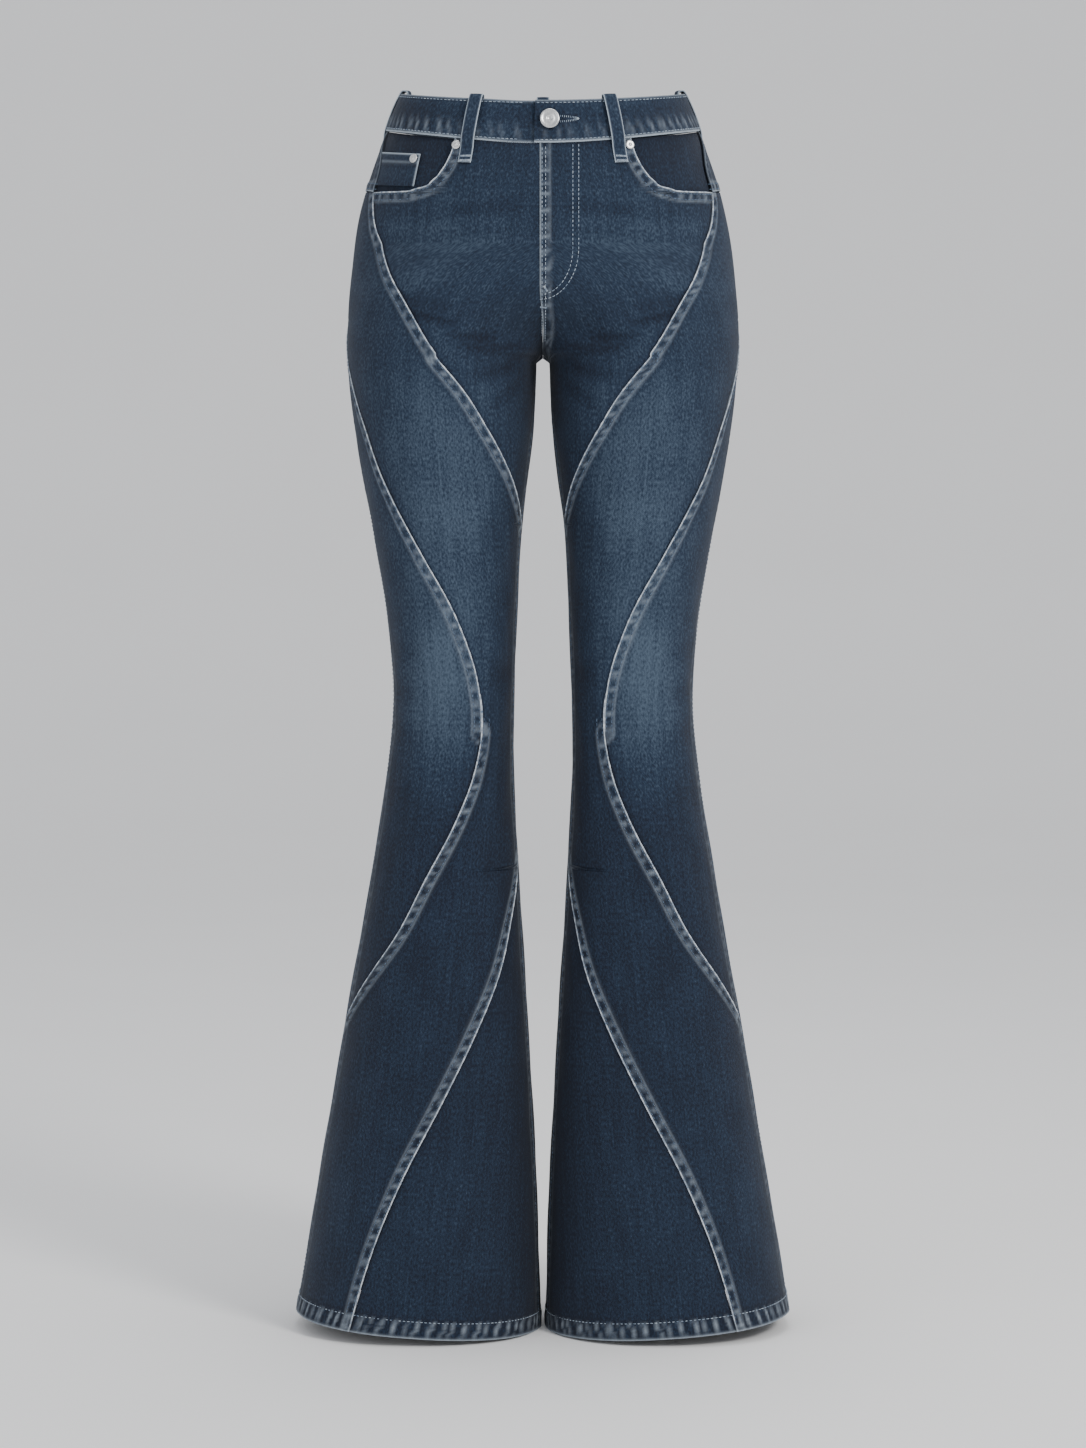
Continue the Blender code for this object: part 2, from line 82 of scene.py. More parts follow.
CLOTH = 0.0011           # thickness of one layer of denim
HEM_FOLD = 0.0165        # height of the turned-up hem
LAP = 0.0085             # width of a lapped seam's stitched band
LAP_RISE = 0.0006        # how far that band stands out
FACING_OUT = -0.0026     # the pocket facing lies this far behind the front
BAND_OUT = 0.0010
BAND_WALL = 0.0024
BAND_HEIGHT = 0.034
STEP = 0.0036            # spacing of the fine grids
BACK_STEP = 0.0048       # and on the plainer back
# closer lines along a panel's edges, where its seams stand out
EDGE_STEPS = np.array([0.0, 0.0007, 0.0016, 0.0030, 0.0050, 0.0072, 0.0088, 0.0102])
INSIDE_WEAR = 0.25       # wear on a cloth's hidden face, over its outer face
INSIDE_SHIFT = 0.37      # moves the weave along, so the two faces differ

SECTIONS = np.array([
    # height, outer, front, back, middle
    (0.000, 0.2205, 0.098, 0.098, 0.006),
    (0.100, 0.2040, 0.091, 0.092, 0.005),
    (0.250, 0.1792, 0.078, 0.080, 0.002),
    (0.400, 0.1525, 0.064, 0.068, -0.001),
    (0.480, 0.1395, 0.058, 0.063, -0.002),
    (0.550, 0.1325, 0.057, 0.060, -0.003),
    (0.620, 0.1368, 0.062, 0.062, -0.001),
    (0.700, 0.1500, 0.073, 0.069, 0.003),
    (0.780, 0.1648, 0.085, 0.082, 0.008),
    (0.860, 0.1730, 0.094, 0.102, 0.010),
    (0.930, 0.1690, 0.099, 0.115, 0.006),
    (0.990, 0.1590, 0.099, 0.112, 0.002),
    (1.040, 0.1425, 0.094, 0.101, 0.000),
    (1.070, 0.1310, 0.089, 0.094, 0.000),
    (1.086, 0.1240, 0.087, 0.091, 0.000),
])
INSIDE = np.array([
    # height, inner
    (0.00, 0.0020), (0.10, 0.0045), (0.25, 0.0122), (0.40, 0.0213), (0.50, 0.0260), (0.57, 0.0248),
    (0.64, 0.0222), (0.70, 0.0190), (0.75, 0.0130), (0.79, 0.0085), (0.855, 0.0060),
])

# Each row of these is a height and an angle, but for the yoke's.
SEAM_A = np.array([
    (0.705, -78), (0.722, -67), (0.754, -48), (0.788, -30), (0.823, -14),
    (0.858, 5), (0.895, 24.5), (0.931, 44), (0.967, 59), (1.002, 68),
])
SEAM_B = np.array([
    (0.266, 78), (0.300, 57), (0.345, 33), (0.400, 13), (0.450, -8), (0.490, -22), (0.530, -28),
    (0.570, -23.5), (0.620, -7.5), (0.680, 19), (0.740, 42.5), (0.800, 58.5), (0.850, 76), (0.890, 97),
])
SEAM_C = np.array([
    (0.000, 31), (0.040, 27.5), (0.090, 21), (0.145, 10), (0.198, -5),
    (0.264, -26), (0.322, -46), (0.358, -57), (0.410, -78),
])
SIDE_SEAM = np.array([
    (0.00, 78), (0.55, 78), (0.66, 84), (0.75, 94), (0.85, 97), (1.00, 97),
])
POCKET_SIDE = np.array([
    (1.000, 68), (1.028, 72), (1.056, 92),
])
POCKET_EDGE = np.array([
    (1.0000, 68), (1.0012, 53), (1.0047, 43), (1.0130, 37), (1.0220, 34.5), (1.0330, 32.8), (1.0550, 31.8),
])
YOKE_SEAM = np.array([
    # angle, height
    (60, 1.000), (97, 1.000), (125, 0.990), (180, 0.962), (220, 0.955),
])
KNEE_LOW, KNEE_HIGH = 0.2724, 0.886      # ends of the knee panel
GORE_TOP, SEAM_C_END = 0.405, 0.4055     # the gore ends just under the end of seam C
KNEE_APEX = 0.525        # above this height seam B's band lies on the knee panel, below it on the sweep


# ---- The form ----
def through(table, at, column=1):
    """Value at a height on the smooth curve through a table's rows."""
    keys, values = table[:, 0], table[:, column]
    at = np.asarray(at, float)
    slopes = np.gradient(values, keys)
    i = np.clip(np.searchsorted(keys, at) - 1, 0, len(keys) - 2)
    step = keys[i + 1] - keys[i]
    t = np.clip((at - keys[i]) / step, 0, 1)
    start = (1 + 2 * t) * (1 - t) ** 2 * values[i] + t * (1 - t) ** 2 * step * slopes[i]
    end = t * t * (3 - 2 * t) * values[i + 1] + t * t * (t - 1) * step * slopes[i + 1]
    return start + end


def ease(t):
    t = np.clip(t, 0, 1)
    return t * t * (3 - 2 * t)


def bell(distance, width):
    """A soft bump: 1 at no distance, fading over a width."""
    return np.exp(-(distance / width) ** 2)


def unit(vectors):
    return vectors / np.maximum(np.linalg.norm(vectors, axis=-1, keepdims=True), 1e-12)


def opening(height, reach):
    rise = np.clip((height - CROTCH) / reach, 0, 1)
    return (1 - (1 - rise) ** 2) ** 0.7


def ring(height):
    """The cross section at a height: half-width, centre and how far the centre cut lies out."""
    outer = through(SECTIONS, height, 1)
    parted = np.clip((CROTCH - height) / CROTCH_ROUND, 0, 1)
    inner = through(INSIDE, height) * np.sqrt(1 - (1 - parted) ** 2)
    opened = opening(height, FRONT_RISE_REACH)
    cut = np.clip(1 - opened ** ROUNDNESS, 0, 1) ** (1 / ROUNDNESS)
    is_leg = height < CROTCH
    half_width = np.where(is_leg, (outer - inner) / 2, outer / (1 + cut))
    centre = np.where(is_leg, (outer + inner) / 2, cut * outer / (1 + cut))
    return half_width, centre, cut, opened


def form(height, angle):
    """Points of the cloth's outer surface on the wearer's left; height in metres, angle in degrees."""
    height, angle = np.broadcast_arrays(np.asarray(height, float), np.radians(angle))
    half_width, centre, cut, opened = ring(height)
    sine, cosine = np.sin(angle), np.cos(angle)
    radius = (np.abs(sine) ** ROUNDNESS + np.abs(cosine) ** ROUNDNESS) ** (-1 / ROUNDNESS)
    across = radius * sine
    depth = radius * cosine
    x = centre + half_width * across
    spans = (across < 0) & (height > CROTCH) & (cut > 0.01)
    smooth_share = 0.5 - 0.5 * np.cos(np.pi * np.clip(x / np.maximum(centre, 1e-6), 0, 1))
    round_share = (np.abs(depth) - opened) / np.maximum(1 - opened, 1e-6)
    blend = ease((opened - 0.15) / 0.6)
    share = blend * smooth_share + (1 - blend) * round_share
    at_centre = opening(height, SPAN_REACH)
    depth = np.where(spans, np.sign(depth) * (at_centre + (1 - at_centre) * share), depth)
    reach = np.where(depth > 0, through(SECTIONS, height, 2), through(SECTIONS, height, 3))
    y = through(SECTIONS, height, 4) - reach * depth
    dip = (WAIST_DIP + WAIST_LIFT) / 2 * cosine + (WAIST_DIP - WAIST_LIFT) / 2 * cosine ** 2
    z = height - WAIST_HEIGHT
    z = z - dip * ease((height - WAIST_DIP_START) / (TOP - WAIST_DIP_START))
    z = z + HEM_TILT * sine * (1 - ease(height / HEM_TILT_REACH))
    return np.stack([x, y, z], axis=-1)


def outward(height, angle):
    """Unit normals of the form, facing out."""
    height, angle = np.broadcast_arrays(np.asarray(height, float), np.asarray(angle, float))
    up, turned_by = 0.0006, 0.4
    low = np.minimum(height, TOP - up)
    rise = form(low + up, angle) - form(low - up, angle)
    turn = form(height, angle + turned_by) - form(height, angle - turned_by)
    return unit(np.cross(turn, rise))


def raised(height, angle, out):
    return form(height, angle) + np.asarray(out, float)[..., None] * outward(height, angle)


def per_degree(height, angle):
    """Length round the cloth of one degree."""
    return np.linalg.norm(form(height, angle + 1) - form(height, angle - 1), axis=-1) / 2


def angle_at(height, x):
    half_width, centre, *_ = ring(height)
    across = np.clip((x - centre) / half_width, -1, 1)
    depth = (1 - np.abs(across) ** ROUNDNESS) ** (1 / ROUNDNESS)
    return np.degrees(np.arctan2(across, depth))


def inseam(height):
    return -90 + INSEAM_TURN * np.clip((CROTCH - height) / 0.08, 0, 1)


def band_seam(angle):
    return 1.0535 - 0.0055 * np.cos(np.radians(angle)) ** 4


def curve(table):
    return partial(through, table)


def shifted(edge, direction):
    """A seam moved by half a gap to one side."""
    def moved(height):
        half_width, *_ = ring(height)
        slope = half_width * np.radians(edge(height + 0.004) - edge(height - 0.004)) / 0.008
        gap = SEAM_GAP / 2 * np.sqrt(1 + np.minimum(slope ** 2, 9)) / half_width
        return edge(height) + direction * np.degrees(gap)
    return moved


def centre_front(height, side):
    fly = FLY_EDGE * ease((height - CROTCH - 0.02) / (FLY_END - CROTCH - 0.02))
    edge = angle_at(height, side * fly + SEAM_GAP / 2)
    return np.where(height > CROTCH, edge, shifted(inseam, 1)(height))


def centre_back(height):
    edge = 180 - angle_at(height, SEAM_GAP / 2)
    return np.where(height > CROTCH, edge, 360 + shifted(inseam, -1)(height))


# ---- Seam lines in space, for distances ----
def lengths_along(points):
    return np.concatenate([[0], np.cumsum(np.linalg.norm(np.diff(points, axis=0), axis=1))])


def interpolated(places, keys, points):
    return np.stack([np.interp(places, keys, points[:, axis]) for axis in range(3)], axis=1)


def seam_lines():
    """Heights and angles along each seam of the wearer's left half, by name."""
    lines = {}
    for name, table, top, count in (
        ("a", SEAM_A, POCKET_END, 500), ("b", SEAM_B, SEAM_B[-1, 0], 500),
        ("c", SEAM_C, SEAM_C[-1, 0], 500),
        ("side", SIDE_SEAM, POCKET_END, 700), ("pocket_side", POCKET_SIDE, 1.0535, 120),
    ):
        heights = np.linspace(table[0, 0], top, count)
        lines[name] = (heights, through(table, heights))
    upper = lines["b"][0] >= KNEE_APEX
    lines["b_high"] = tuple(part[upper] for part in lines["b"])
    lines["b_low"] = tuple(part[~upper] for part in lines["b"])
    heights = np.linspace(0, CROTCH, 600)
    lines["inseam"] = (heights, inseam(heights))
    heights = np.linspace(CROTCH, 1.05, 250)
    lines["fly"] = (heights, centre_front(heights, 1))
    lines["seat"] = (heights, centre_back(heights))
    heights = POCKET_END + 0.0505 * np.linspace(0, 1, 300) ** 2.5
    lines["pocket"] = (heights, through(POCKET_EDGE, heights))
    angles = np.linspace(-5, 185, 600)
    lines["band"] = (band_seam(angles), angles)
    angles = np.linspace(66, 182, 400)
    lines["yoke"] = (through(YOKE_SEAM, angles), angles)
    lines["hem"] = (np.zeros(900), np.linspace(-80, 284, 900))
    return lines


LINES = seam_lines()
TREES = {}


def seam_field(points, name):
    """Distance of each point from a seam, and how far along the seam it lies."""
    if name not in TREES:
        line = form(*LINES[name])
        along = lengths_along(line)
        tree = KDTree(len(line))
        for index, point in enumerate(line):
            tree.insert(Vector(point), index)
        tree.balance()
        TREES[name] = (tree, along)
    tree, along = TREES[name]
    found = [tree.find(point)[1:] for point in points.reshape(-1, 3)]
    nearest, away = (np.array(column).reshape(points.shape[:-1]) for column in zip(*found))
    return away, along[nearest]


def uneven(along, pitch, seed):
    """Uneven waves along a seam, from -1 to 1."""
    turn = 2 * np.pi * along / pitch
    first = np.sin(turn + 0.9 * np.sin(turn * 0.31 + seed))
    second = np.sin(turn * 1.73 + 1.3 * seed + 1.1 * np.sin(turn * 0.17))
    return 0.65 * first + 0.35 * second


# ---- Creases and fading ----
CREASE_DEEPENED = 1.5    # all creases, over the depths listed
CREASES = (
    # height and angle at the start, the same at the end, width, depth (positive stands out)
    (0.884, -4, 0.890, 24, 0.0045, -0.0016),
    (0.872, -30, 0.874, 4, 0.0040, -0.0015),
    (0.878, -12, 0.881, 16, 0.0050, 0.0010),
    (0.864, -46, 0.862, -8, 0.0045, -0.0012),
    (0.897, 2, 0.905, 34, 0.0060, -0.0008),
    (0.846, -52, 0.838, -20, 0.0060, -0.0010),
    (0.826, -56, 0.812, -30, 0.0070, -0.0008),
    (0.985, 6, 0.972, 50, 0.0080, -0.0006),
    (0.962, 10, 0.955, 48, 0.0080, 0.0005),
    (0.948, 6, 0.940, 44, 0.0090, -0.0006),
    (0.600, 30, 0.592, 74, 0.0100, -0.0006),
    (0.560, 36, 0.566, 76, 0.0090, -0.0006),
    (0.520, 30, 0.530, 72, 0.0100, -0.0005),
    (0.585, -70, 0.570, -34, 0.0090, -0.0006),
    (0.545, 150, 0.552, 215, 0.0080, -0.0012),
    (0.575, 140, 0.566, 205, 0.0090, -0.0010),
    (0.520, 160, 0.512, 220, 0.0090, -0.0009),
    (0.862, 185, 0.838, 140, 0.0060, -0.0014),
    (0.845, 215, 0.815, 165, 0.0070, -0.0012),
    (0.825, 235, 0.788, 190, 0.0080, -0.0009),
    (0.900, 100, 0.893, 130, 0.0080, -0.0006),
)
WHISKERS = (
    # height and angle at the start, the same at the end, width, strength (negative is darker)
    (0.990, 8, 0.983, 60, 0.0055, -0.55),
    (0.978, 6, 0.970, 58, 0.0045, 0.40),
    (0.966, 8, 0.957, 56, 0.0060, -0.50),
    (0.950, 10, 0.944, 50, 0.0055, 0.35),
    (0.936, 6, 0.930, 44, 0.0060, -0.35),
    (0.920, 84, 0.915, 60, 0.0060, 0.45),
    (0.905, 86, 0.898, 58, 0.0050, -0.40),
    (0.888, 84, 0.884, 56, 0.0060, 0.35),
    (0.872, 86, 0.868, 60, 0.0050, -0.30),
)


def stroke(height, angle, row):
    """How strongly a listed stroke marks each point: 1 on its line, fading beside and at its ends."""
    h0, a0, h1, a1, width = row[:5]
    share = (angle - a0) / (a1 - a0)
    line = h0 + (h1 - h0) * np.clip(share, 0, 1) + 0.003 * np.sin(3.1 * share + 40 * h0)
    ends = ease((share + 0.15) / 0.4) * ease((1.15 - share) / 0.4)
    return bell(height - line, width) * ends


def crease_relief(height, angle):
    relief = np.zeros_like(height)
    for row in CREASES:
        relief += row[5] * stroke(height, angle, row)
    return relief


def fading(height, angle):
    """How faded the cloth is: 0 dark indigo, 1 the palest."""
    turned = np.where(angle > 180, 360 - angle, angle)
    thigh = bell(height - 0.72, 0.16) * bell(turned, 42)
    knee = bell(height - 0.56, 0.07) * bell(turned - 12, 40)
    hip = 0.75 * bell(height - 0.955, 0.05) * bell(turned - 34, 30)
    seat = 0.8 * bell(height - 0.90, 0.07) * bell(turned - 150, 30)
    calf = 0.35 * bell(height - 0.36, 0.12) * bell(turned - 5, 45)
    hem = 0.12 * bell(height - 0.10, 0.12) * bell(turned - 20, 60)
    base = 0.14 + 0.16 * ease((height - 0.45) / 0.30)
    fade = base + 0.42 * thigh + 0.52 * knee + 0.34 * hip + 0.40 * seat + 0.15 * calf + hem
    fade -= 0.16 * ease((np.abs(turned - 20) - 55) / 40) * (turned < 120)
    fade -= 0.10 * bell(height - CROTCH, 0.035) * bell(turned + 25, 45)
    for row in WHISKERS:
        fade += 0.17 * row[5] * stroke(height, angle, row)
    return fade


def around(heights, angles):
    """Distance round the cloth from the middle of the front, row by row."""
    turn = np.linspace(-100, 380, 241)
    line = form(heights.mean(axis=1)[:, None], turn[None, :])
    gaps = np.linalg.norm(np.diff(line, axis=1), axis=-1)
    lengths = np.concatenate([np.zeros((len(gaps), 1)), np.cumsum(gaps, axis=1)], axis=1)
    front = np.searchsorted(turn, 20)
    lengths -= lengths[:, front:front + 1]
    return np.stack([np.interp(angles[row], turn, lengths[row]) for row in range(len(lengths))])


# ---- Making cloth ----
def add_object(name, data):
    made = bpy.data.objects.new(name, data)
    bpy.context.scene.collection.objects.link(made)
    return made


def ring_faces(start, rings, turns):
    """Faces between rings of points that follow one another from a start."""
    step = np.arange(turns)
    after = (step + 1) % turns
    near = start + turns * np.arange(rings - 1)[:, None]
    corners = [near + step, near + after, near + after + turns, near + step + turns]
    return np.stack(corners, axis=-1).reshape(-1, 4).tolist()


def smooth_object(name, points, faces):
    mesh = bpy.data.meshes.new(name)
    mesh.from_pydata(points, [], faces)
    mesh.polygons.foreach_set("use_smooth", np.ones(len(mesh.polygons), bool))
    mesh.update()
    return add_object(name, mesh)


def grid_mesh(name, outer, inner, values, side):
    """A closed shell between two equal grids, with its point values kept as attributes."""
    rows, columns = outer.shape[:2]
    count = rows * columns
    points = np.concatenate([outer.reshape(-1, 3), inner.reshape(-1, 3)]) * (side, 1, 1)
    index = np.arange(count).reshape(rows, columns)
    corners = [index[:-1, :-1], index[:-1, 1:], index[1:, 1:], index[1:, :-1]]
    front = np.stack([part.ravel() for part in corners], axis=1)
    border = np.concatenate([index[0, :-1], index[:-1, -1], index[-1, :0:-1], index[:0:-1, 0]])
    after = np.roll(border, -1)
    rim = np.stack([after, border, border + count, after + count], axis=1)
    faces = np.concatenate([front, front[:, ::-1] + count, rim])[:, ::side]
    made = smooth_object(name, points.tolist(), faces.tolist())
    mesh = made.data
    for key, field in values.items():
        inside = INSIDE_WEAR if key == "wear" else 1.0
        attribute = mesh.attributes.new(key, "FLOAT", "POINT")
        field = np.broadcast_to(field, (rows, columns)).ravel()
        attribute.data.foreach_set("value", np.concatenate([field, inside * field]))
    weave = np.zeros((2, rows, columns, 3))
    weave[..., 0] = values["along"]
    weave[1, ..., 0] += INSIDE_SHIFT
    weave[..., 1] = values["lift"]
    mesh.attributes.new("cloth", "FLOAT_VECTOR", "POINT").data.foreach_set("vector", weave.ravel())
    ends = np.empty(len(mesh.edges) * 2, int)
    mesh.edges.foreach_get("vertices", ends)
    ends = ends.reshape(-1, 2)
    on_rim = np.isin(ends % count, border).all(axis=1)
    same_face = (ends[:, 0] < count) == (ends[:, 1] < count)
    mesh.attributes.new("sharp_edge", "BOOLEAN", "EDGE").data.foreach_set("value", on_rim & same_face)
    return made


def column_angles(heights, low, high, step=STEP):
    """Columns that lie close together along both edges and evenly between them."""
    middle = (low + high) / 2
    stretch = per_degree(heights, middle)
    width = (high - low) * stretch
    columns = max(4, int(np.max(width) / step) - 4)
    leans = [
        np.sqrt(1 + np.minimum(np.gradient(edge * stretch, heights) ** 2, 16)) for edge in (low, high)
    ]
    result = []
    for row, wide in enumerate(width):
        most = 0.36 * wide / EDGE_STEPS[-1]
        start, end = (EDGE_STEPS * min(lean[row], most) for lean in leans)
        between = np.linspace(start[-1], wide - end[-1], columns + 1)[1:-1]
        places = np.concatenate([start, between, (wide - end)[::-1]]) / max(wide, 1e-9)
        result.append(low[row] + (high[row] - low[row]) * places)
    return np.array(result)


def fine_rows(low, high, extra=(), step=STEP):
    """Row heights: even, with close rows at both ends."""
    count = max(3, int((high - low) / step))
    close = [gap for gap in EDGE_STEPS if gap < (high - low) / 3]
    ends = [low + gap for gap in close] + [high - gap for gap in close]
    inner = np.linspace(low + EDGE_STEPS[-1], high - EDGE_STEPS[-1], count) if high - low > 0.03 else []
    rows = np.array(sorted(set(np.round(np.concatenate([ends, inner, list(extra)]), 6))))
    keep = np.concatenate([[True], np.diff(rows) > 0.0003])
    return rows[keep]


def lap_profile(distance):
    """Cross section of a lapped seam's band: a full edge, a hollow at each stitch row, a soft far edge."""
    body = ease((LAP + 0.0012 - distance) / 0.0024)
    stitched = bell(distance - STITCH_NEAR, 0.0008) + bell(distance - STITCH_FAR, 0.0008)
    return LAP_RISE * body - 0.00028 * stitched


def finish_cloth(name, heights, angles, side, laps=(), tucked=(), out=0.0, creased=True):
    """Raise the seams and creases of a sheet, mark its wear and its painted shade, and make its shell.

    Each lap or tuck is a seam, the pitch of its puckers and its strength.
    """
    base = form(heights, angles)
    relief, wear, shade = np.zeros((3, *heights.shape))
    for line, pitch, strength in laps:
        distance, along = seam_field(base, line)
        waves = uneven(along, pitch, 1.7 * side + len(line))
        in_band = ease((LAP + 0.002 - distance) / 0.004)
        pucker = in_band * bell(distance - 0.0048, 0.0042) * waves
        relief += strength * lap_profile(distance) + 0.00042 * strength * pucker
        wear += strength * (0.30 * pucker.clip(0, 1) + 0.16 * bell(distance - LAP, 0.0012))
        wear += 0.55 * strength * bell(distance, 0.0011)
        # painted shade: darker in the puckers' troughs and in a strip just beyond the lapped band
        shade += 0.30 * strength * in_band * (0.5 - 0.5 * waves)
        shade += 0.22 * bell(distance - LAP - 0.003, 0.003)
    for line, pitch, strength in tucked:
        distance, along = seam_field(base, line)
        waves = uneven(along, pitch, 2.3 * side + len(line))
        relief += strength * (-0.0005 * bell(distance, 0.0018) + 0.00022 * waves * bell(distance, 0.006))
        # painted shade along the tucked seam's groove
        shade += strength * (0.75 * bell(distance, 0.0016) + 0.18 * bell(distance, 0.007))
    if creased:
        creases = crease_relief(heights, angles)
        relief += CREASE_DEEPENED * creases
        # painted shade along the hollow creases
        shade += 0.8 * np.clip(-creases / 0.0016, 0, 1)
    wobble = 0.0004 * np.sin(heights * 61 + angles * 0.11 + side) * np.sin(angles * 0.083 + heights * 23)
    relief += wobble * (heights < 1.0)
    thickness = np.full(heights.shape, CLOTH)
    if np.min(heights) < 0.001:
        fold = ease((HEM_FOLD + 0.001 - heights) / 0.002)
        thickness = CLOTH + 0.0016 * fold
        _, along = seam_field(base, "hem")
        waves = uneven(along + 0.35 * heights, 0.0106, 3.1 + side)
        relief += fold * (0.0005 + 0.00055 * waves * bell(heights - 0.008, 0.008))
        relief -= 0.0005 * bell(heights - HEM_FOLD + 0.0018, 0.0009)
        wear += fold * 0.42 * waves.clip(0, 1) * bell(heights - 0.009, 0.007)
        wear += 0.5 * bell(heights, 0.0012)
        # painted shade in the troughs of the hem's roping and just above its fold
        shade += fold * 0.5 * (-waves).clip(0, 1)
        shade += 0.5 * bell(heights - HEM_FOLD - 0.0016, 0.0016)
    normal = outward(heights, angles)
    top = base + (out + relief)[..., None] * normal
    under = base + (out + relief - thickness)[..., None] * normal
    values = {
        "wear": wear,
        "shade": np.clip(shade, 0, 1.4),
        "fade": fading(heights, angles),
        "along": around(heights, angles),
        "lift": heights,
    }
    return grid_mesh(name, top, under, values, side)


# ---- Materials ----
class Shader:
    """A new material, with its nodes made and linked in short calls."""

    def __init__(self, name):
        self.material = bpy.data.materials.new(name)
        self.material.use_nodes = True
        self.nodes = self.material.node_tree.nodes
        self.surface = self.nodes["Principled BSDF"]

    def put(self, value, socket):
        if isinstance(value, bpy.types.NodeSocket):
            self.material.node_tree.links.new(value, socket)
        else:
            socket.default_value = value

    def finish(self, values):
        for name, value in values.items():
            self.put(value, self.surface.inputs[name])
        return self.material

    def attribute(self, name, output="Fac"):
        node = self.nodes.new("ShaderNodeAttribute")
        node.attribute_name = name
        return node.outputs[output]

    def place(self):
        return self.nodes.new("ShaderNodeTexCoord").outputs["Object"]

    def math(self, operation, *values):
        node = self.nodes.new("ShaderNodeMath")
        node.operation = operation
        for socket, value in zip(node.inputs, values):
            self.put(value, socket)
        return node.outputs[0]

    def mixed(self, factor, first, second):
        node = self.nodes.new("ShaderNodeMix")
        node.data_type = "RGBA"
        node.clamp_factor = True
        self.put(factor, node.inputs["Factor"])
        self.put(first, node.inputs[6])
        self.put(second, node.inputs[7])
        return node.outputs[2]

    def noise(self, vector, scale, detail=2.0, stretch=(1, 1, 1)):
        mapping = self.nodes.new("ShaderNodeMapping")
        mapping.inputs["Scale"].default_value = [scale * part for part in stretch]
        self.put(vector, mapping.inputs["Vector"])
        texture = self.nodes.new("ShaderNodeTexNoise")
        texture.inputs["Scale"].default_value = 1.0
        texture.inputs["Detail"].default_value = detail
        self.put(mapping.outputs[0], texture.inputs["Vector"])
        return texture.outputs["Fac"]

    def bump(self, height, strength, distance):
        node = self.nodes.new("ShaderNodeBump")
        node.inputs["Strength"].default_value = strength
        node.inputs["Distance"].default_value = distance
        self.put(height, node.inputs["Height"])
        return node.outputs[0]


DEEP = (0.0040, 0.0076, 0.0180, 1)
INDIGO = (0.0112, 0.0226, 0.0455, 1)
PALE = (0.0560, 0.0830, 0.1200, 1)
WORN = (0.46, 0.53, 0.60, 1)


def denim(name, darker=0.0):
    """Washed indigo twill: flecked warp, faded and worn where the attributes say, and darkened where shade
    is painted into it.
    """
    shader = Shader(name)
    cloth = shader.attribute("cloth", "Vector")
    fade = shader.attribute("fade")
    wear = shader.attribute("wear")
    shade = shader.attribute("shade")
    fleck = shader.noise(cloth, 620, 3.0, (1.0, 0.55, 1.0))
    streak = shader.noise(cloth, 230, 2.0, (1.0, 0.06, 1.0))
    blotch = shader.noise(cloth, 26, 3.0)
    level = shader.math("MULTIPLY_ADD", fleck, 1.5, -0.75)
    for part in (
        fade,
        shader.math("MULTIPLY_ADD", streak, 0.42, -0.21),
        # darker lowers the colour all over, for the copy of this denim that paints shadow
        shader.math("MULTIPLY_ADD", blotch, 0.36, -0.18 - darker),
        # painted shade: the shade attribute darkens the colour
        shader.math("MULTIPLY", shade, -0.42),
    ):
        level = shader.math("ADD", level, part)
    ramp = shader.nodes.new("ShaderNodeValToRGB")
    low, high = ramp.color_ramp.elements
    low.position, low.color = 0.0, DEEP
    high.position, high.color = 1.0, PALE
    ramp.color_ramp.elements.new(0.42).color = INDIGO
    shader.put(level, ramp.inputs[0])
    grit = shader.noise(cloth, 900, 2.0)
    worn = shader.math("MULTIPLY_ADD", grit, 0.9, -0.45)
    worn = shader.math("MULTIPLY_ADD", worn, wear, wear)
    twill = shader.nodes.new("ShaderNodeTexWave")
    twill.wave_type = "BANDS"
    twill.bands_direction = "DIAGONAL"
    twill.inputs["Scale"].default_value = 420
    twill.inputs["Distortion"].default_value = 1.2
    twill.inputs["Detail"].default_value = 1.0
    shader.put(cloth, twill.inputs["Vector"])
    weave = shader.math("MULTIPLY_ADD", fleck, 0.9, twill.outputs["Fac"])
    return shader.finish({
        "Base Color": shader.mixed(worn, ramp.outputs[0], WORN),
        "Roughness": 0.86,
        "Sheen Weight": 0.04,
        "Sheen Roughness": 0.6,
        "Specular IOR Level": 0.25,
        "Normal": shader.bump(weave, 0.32, 0.0005),
    })


def thread(name, dark, light):
    """Cotton thread or an abraded fold, flecked between two colours."""
    shader = Shader(name)
    place = shader.place()
    patches = shader.noise(place, 260, 3.0)
    fine = shader.noise(place, 1400, 2.0)
    both = shader.math("MULTIPLY_ADD", fine, 0.5, patches)
    spread = shader.math("MULTIPLY_ADD", both, 2.4, -1.25)
    return shader.finish({
        "Base Color": shader.mixed(spread, dark, light),
        "Roughness": 0.9,
        "Normal": shader.bump(fine, 0.3, 0.0003),
    })


def steel(name):
    shader = Shader(name)
    scratches = shader.noise(shader.place(), 700, 4.0, (1, 0.2, 1))
    return shader.finish({
        "Base Color": shader.mixed(scratches, (0.42, 0.43, 0.44, 1), (0.80, 0.80, 0.78, 1)),
        "Metallic": 1.0,
        "Roughness": shader.math("MULTIPLY_ADD", scratches, 0.25, 0.22),
    })


DENIM = denim("denim_outer")
# a darker copy of the denim as painted shadow, for the pocket facing and fly shield lying in shade behind
# the front
DENIM_PAINTED_SHADOW = denim("denim_shadow", 0.22)
EDGE = thread("worn_fold", (0.10, 0.15, 0.23, 1), (0.62, 0.66, 0.70, 1))
THREAD = thread("blue_thread", (0.030, 0.055, 0.105, 1), (0.13, 0.19, 0.28, 1))
PALE_THREAD = thread("pale_thread", (0.12, 0.18, 0.27, 1), (0.45, 0.51, 0.57, 1))
STEEL = steel("satin_steel")


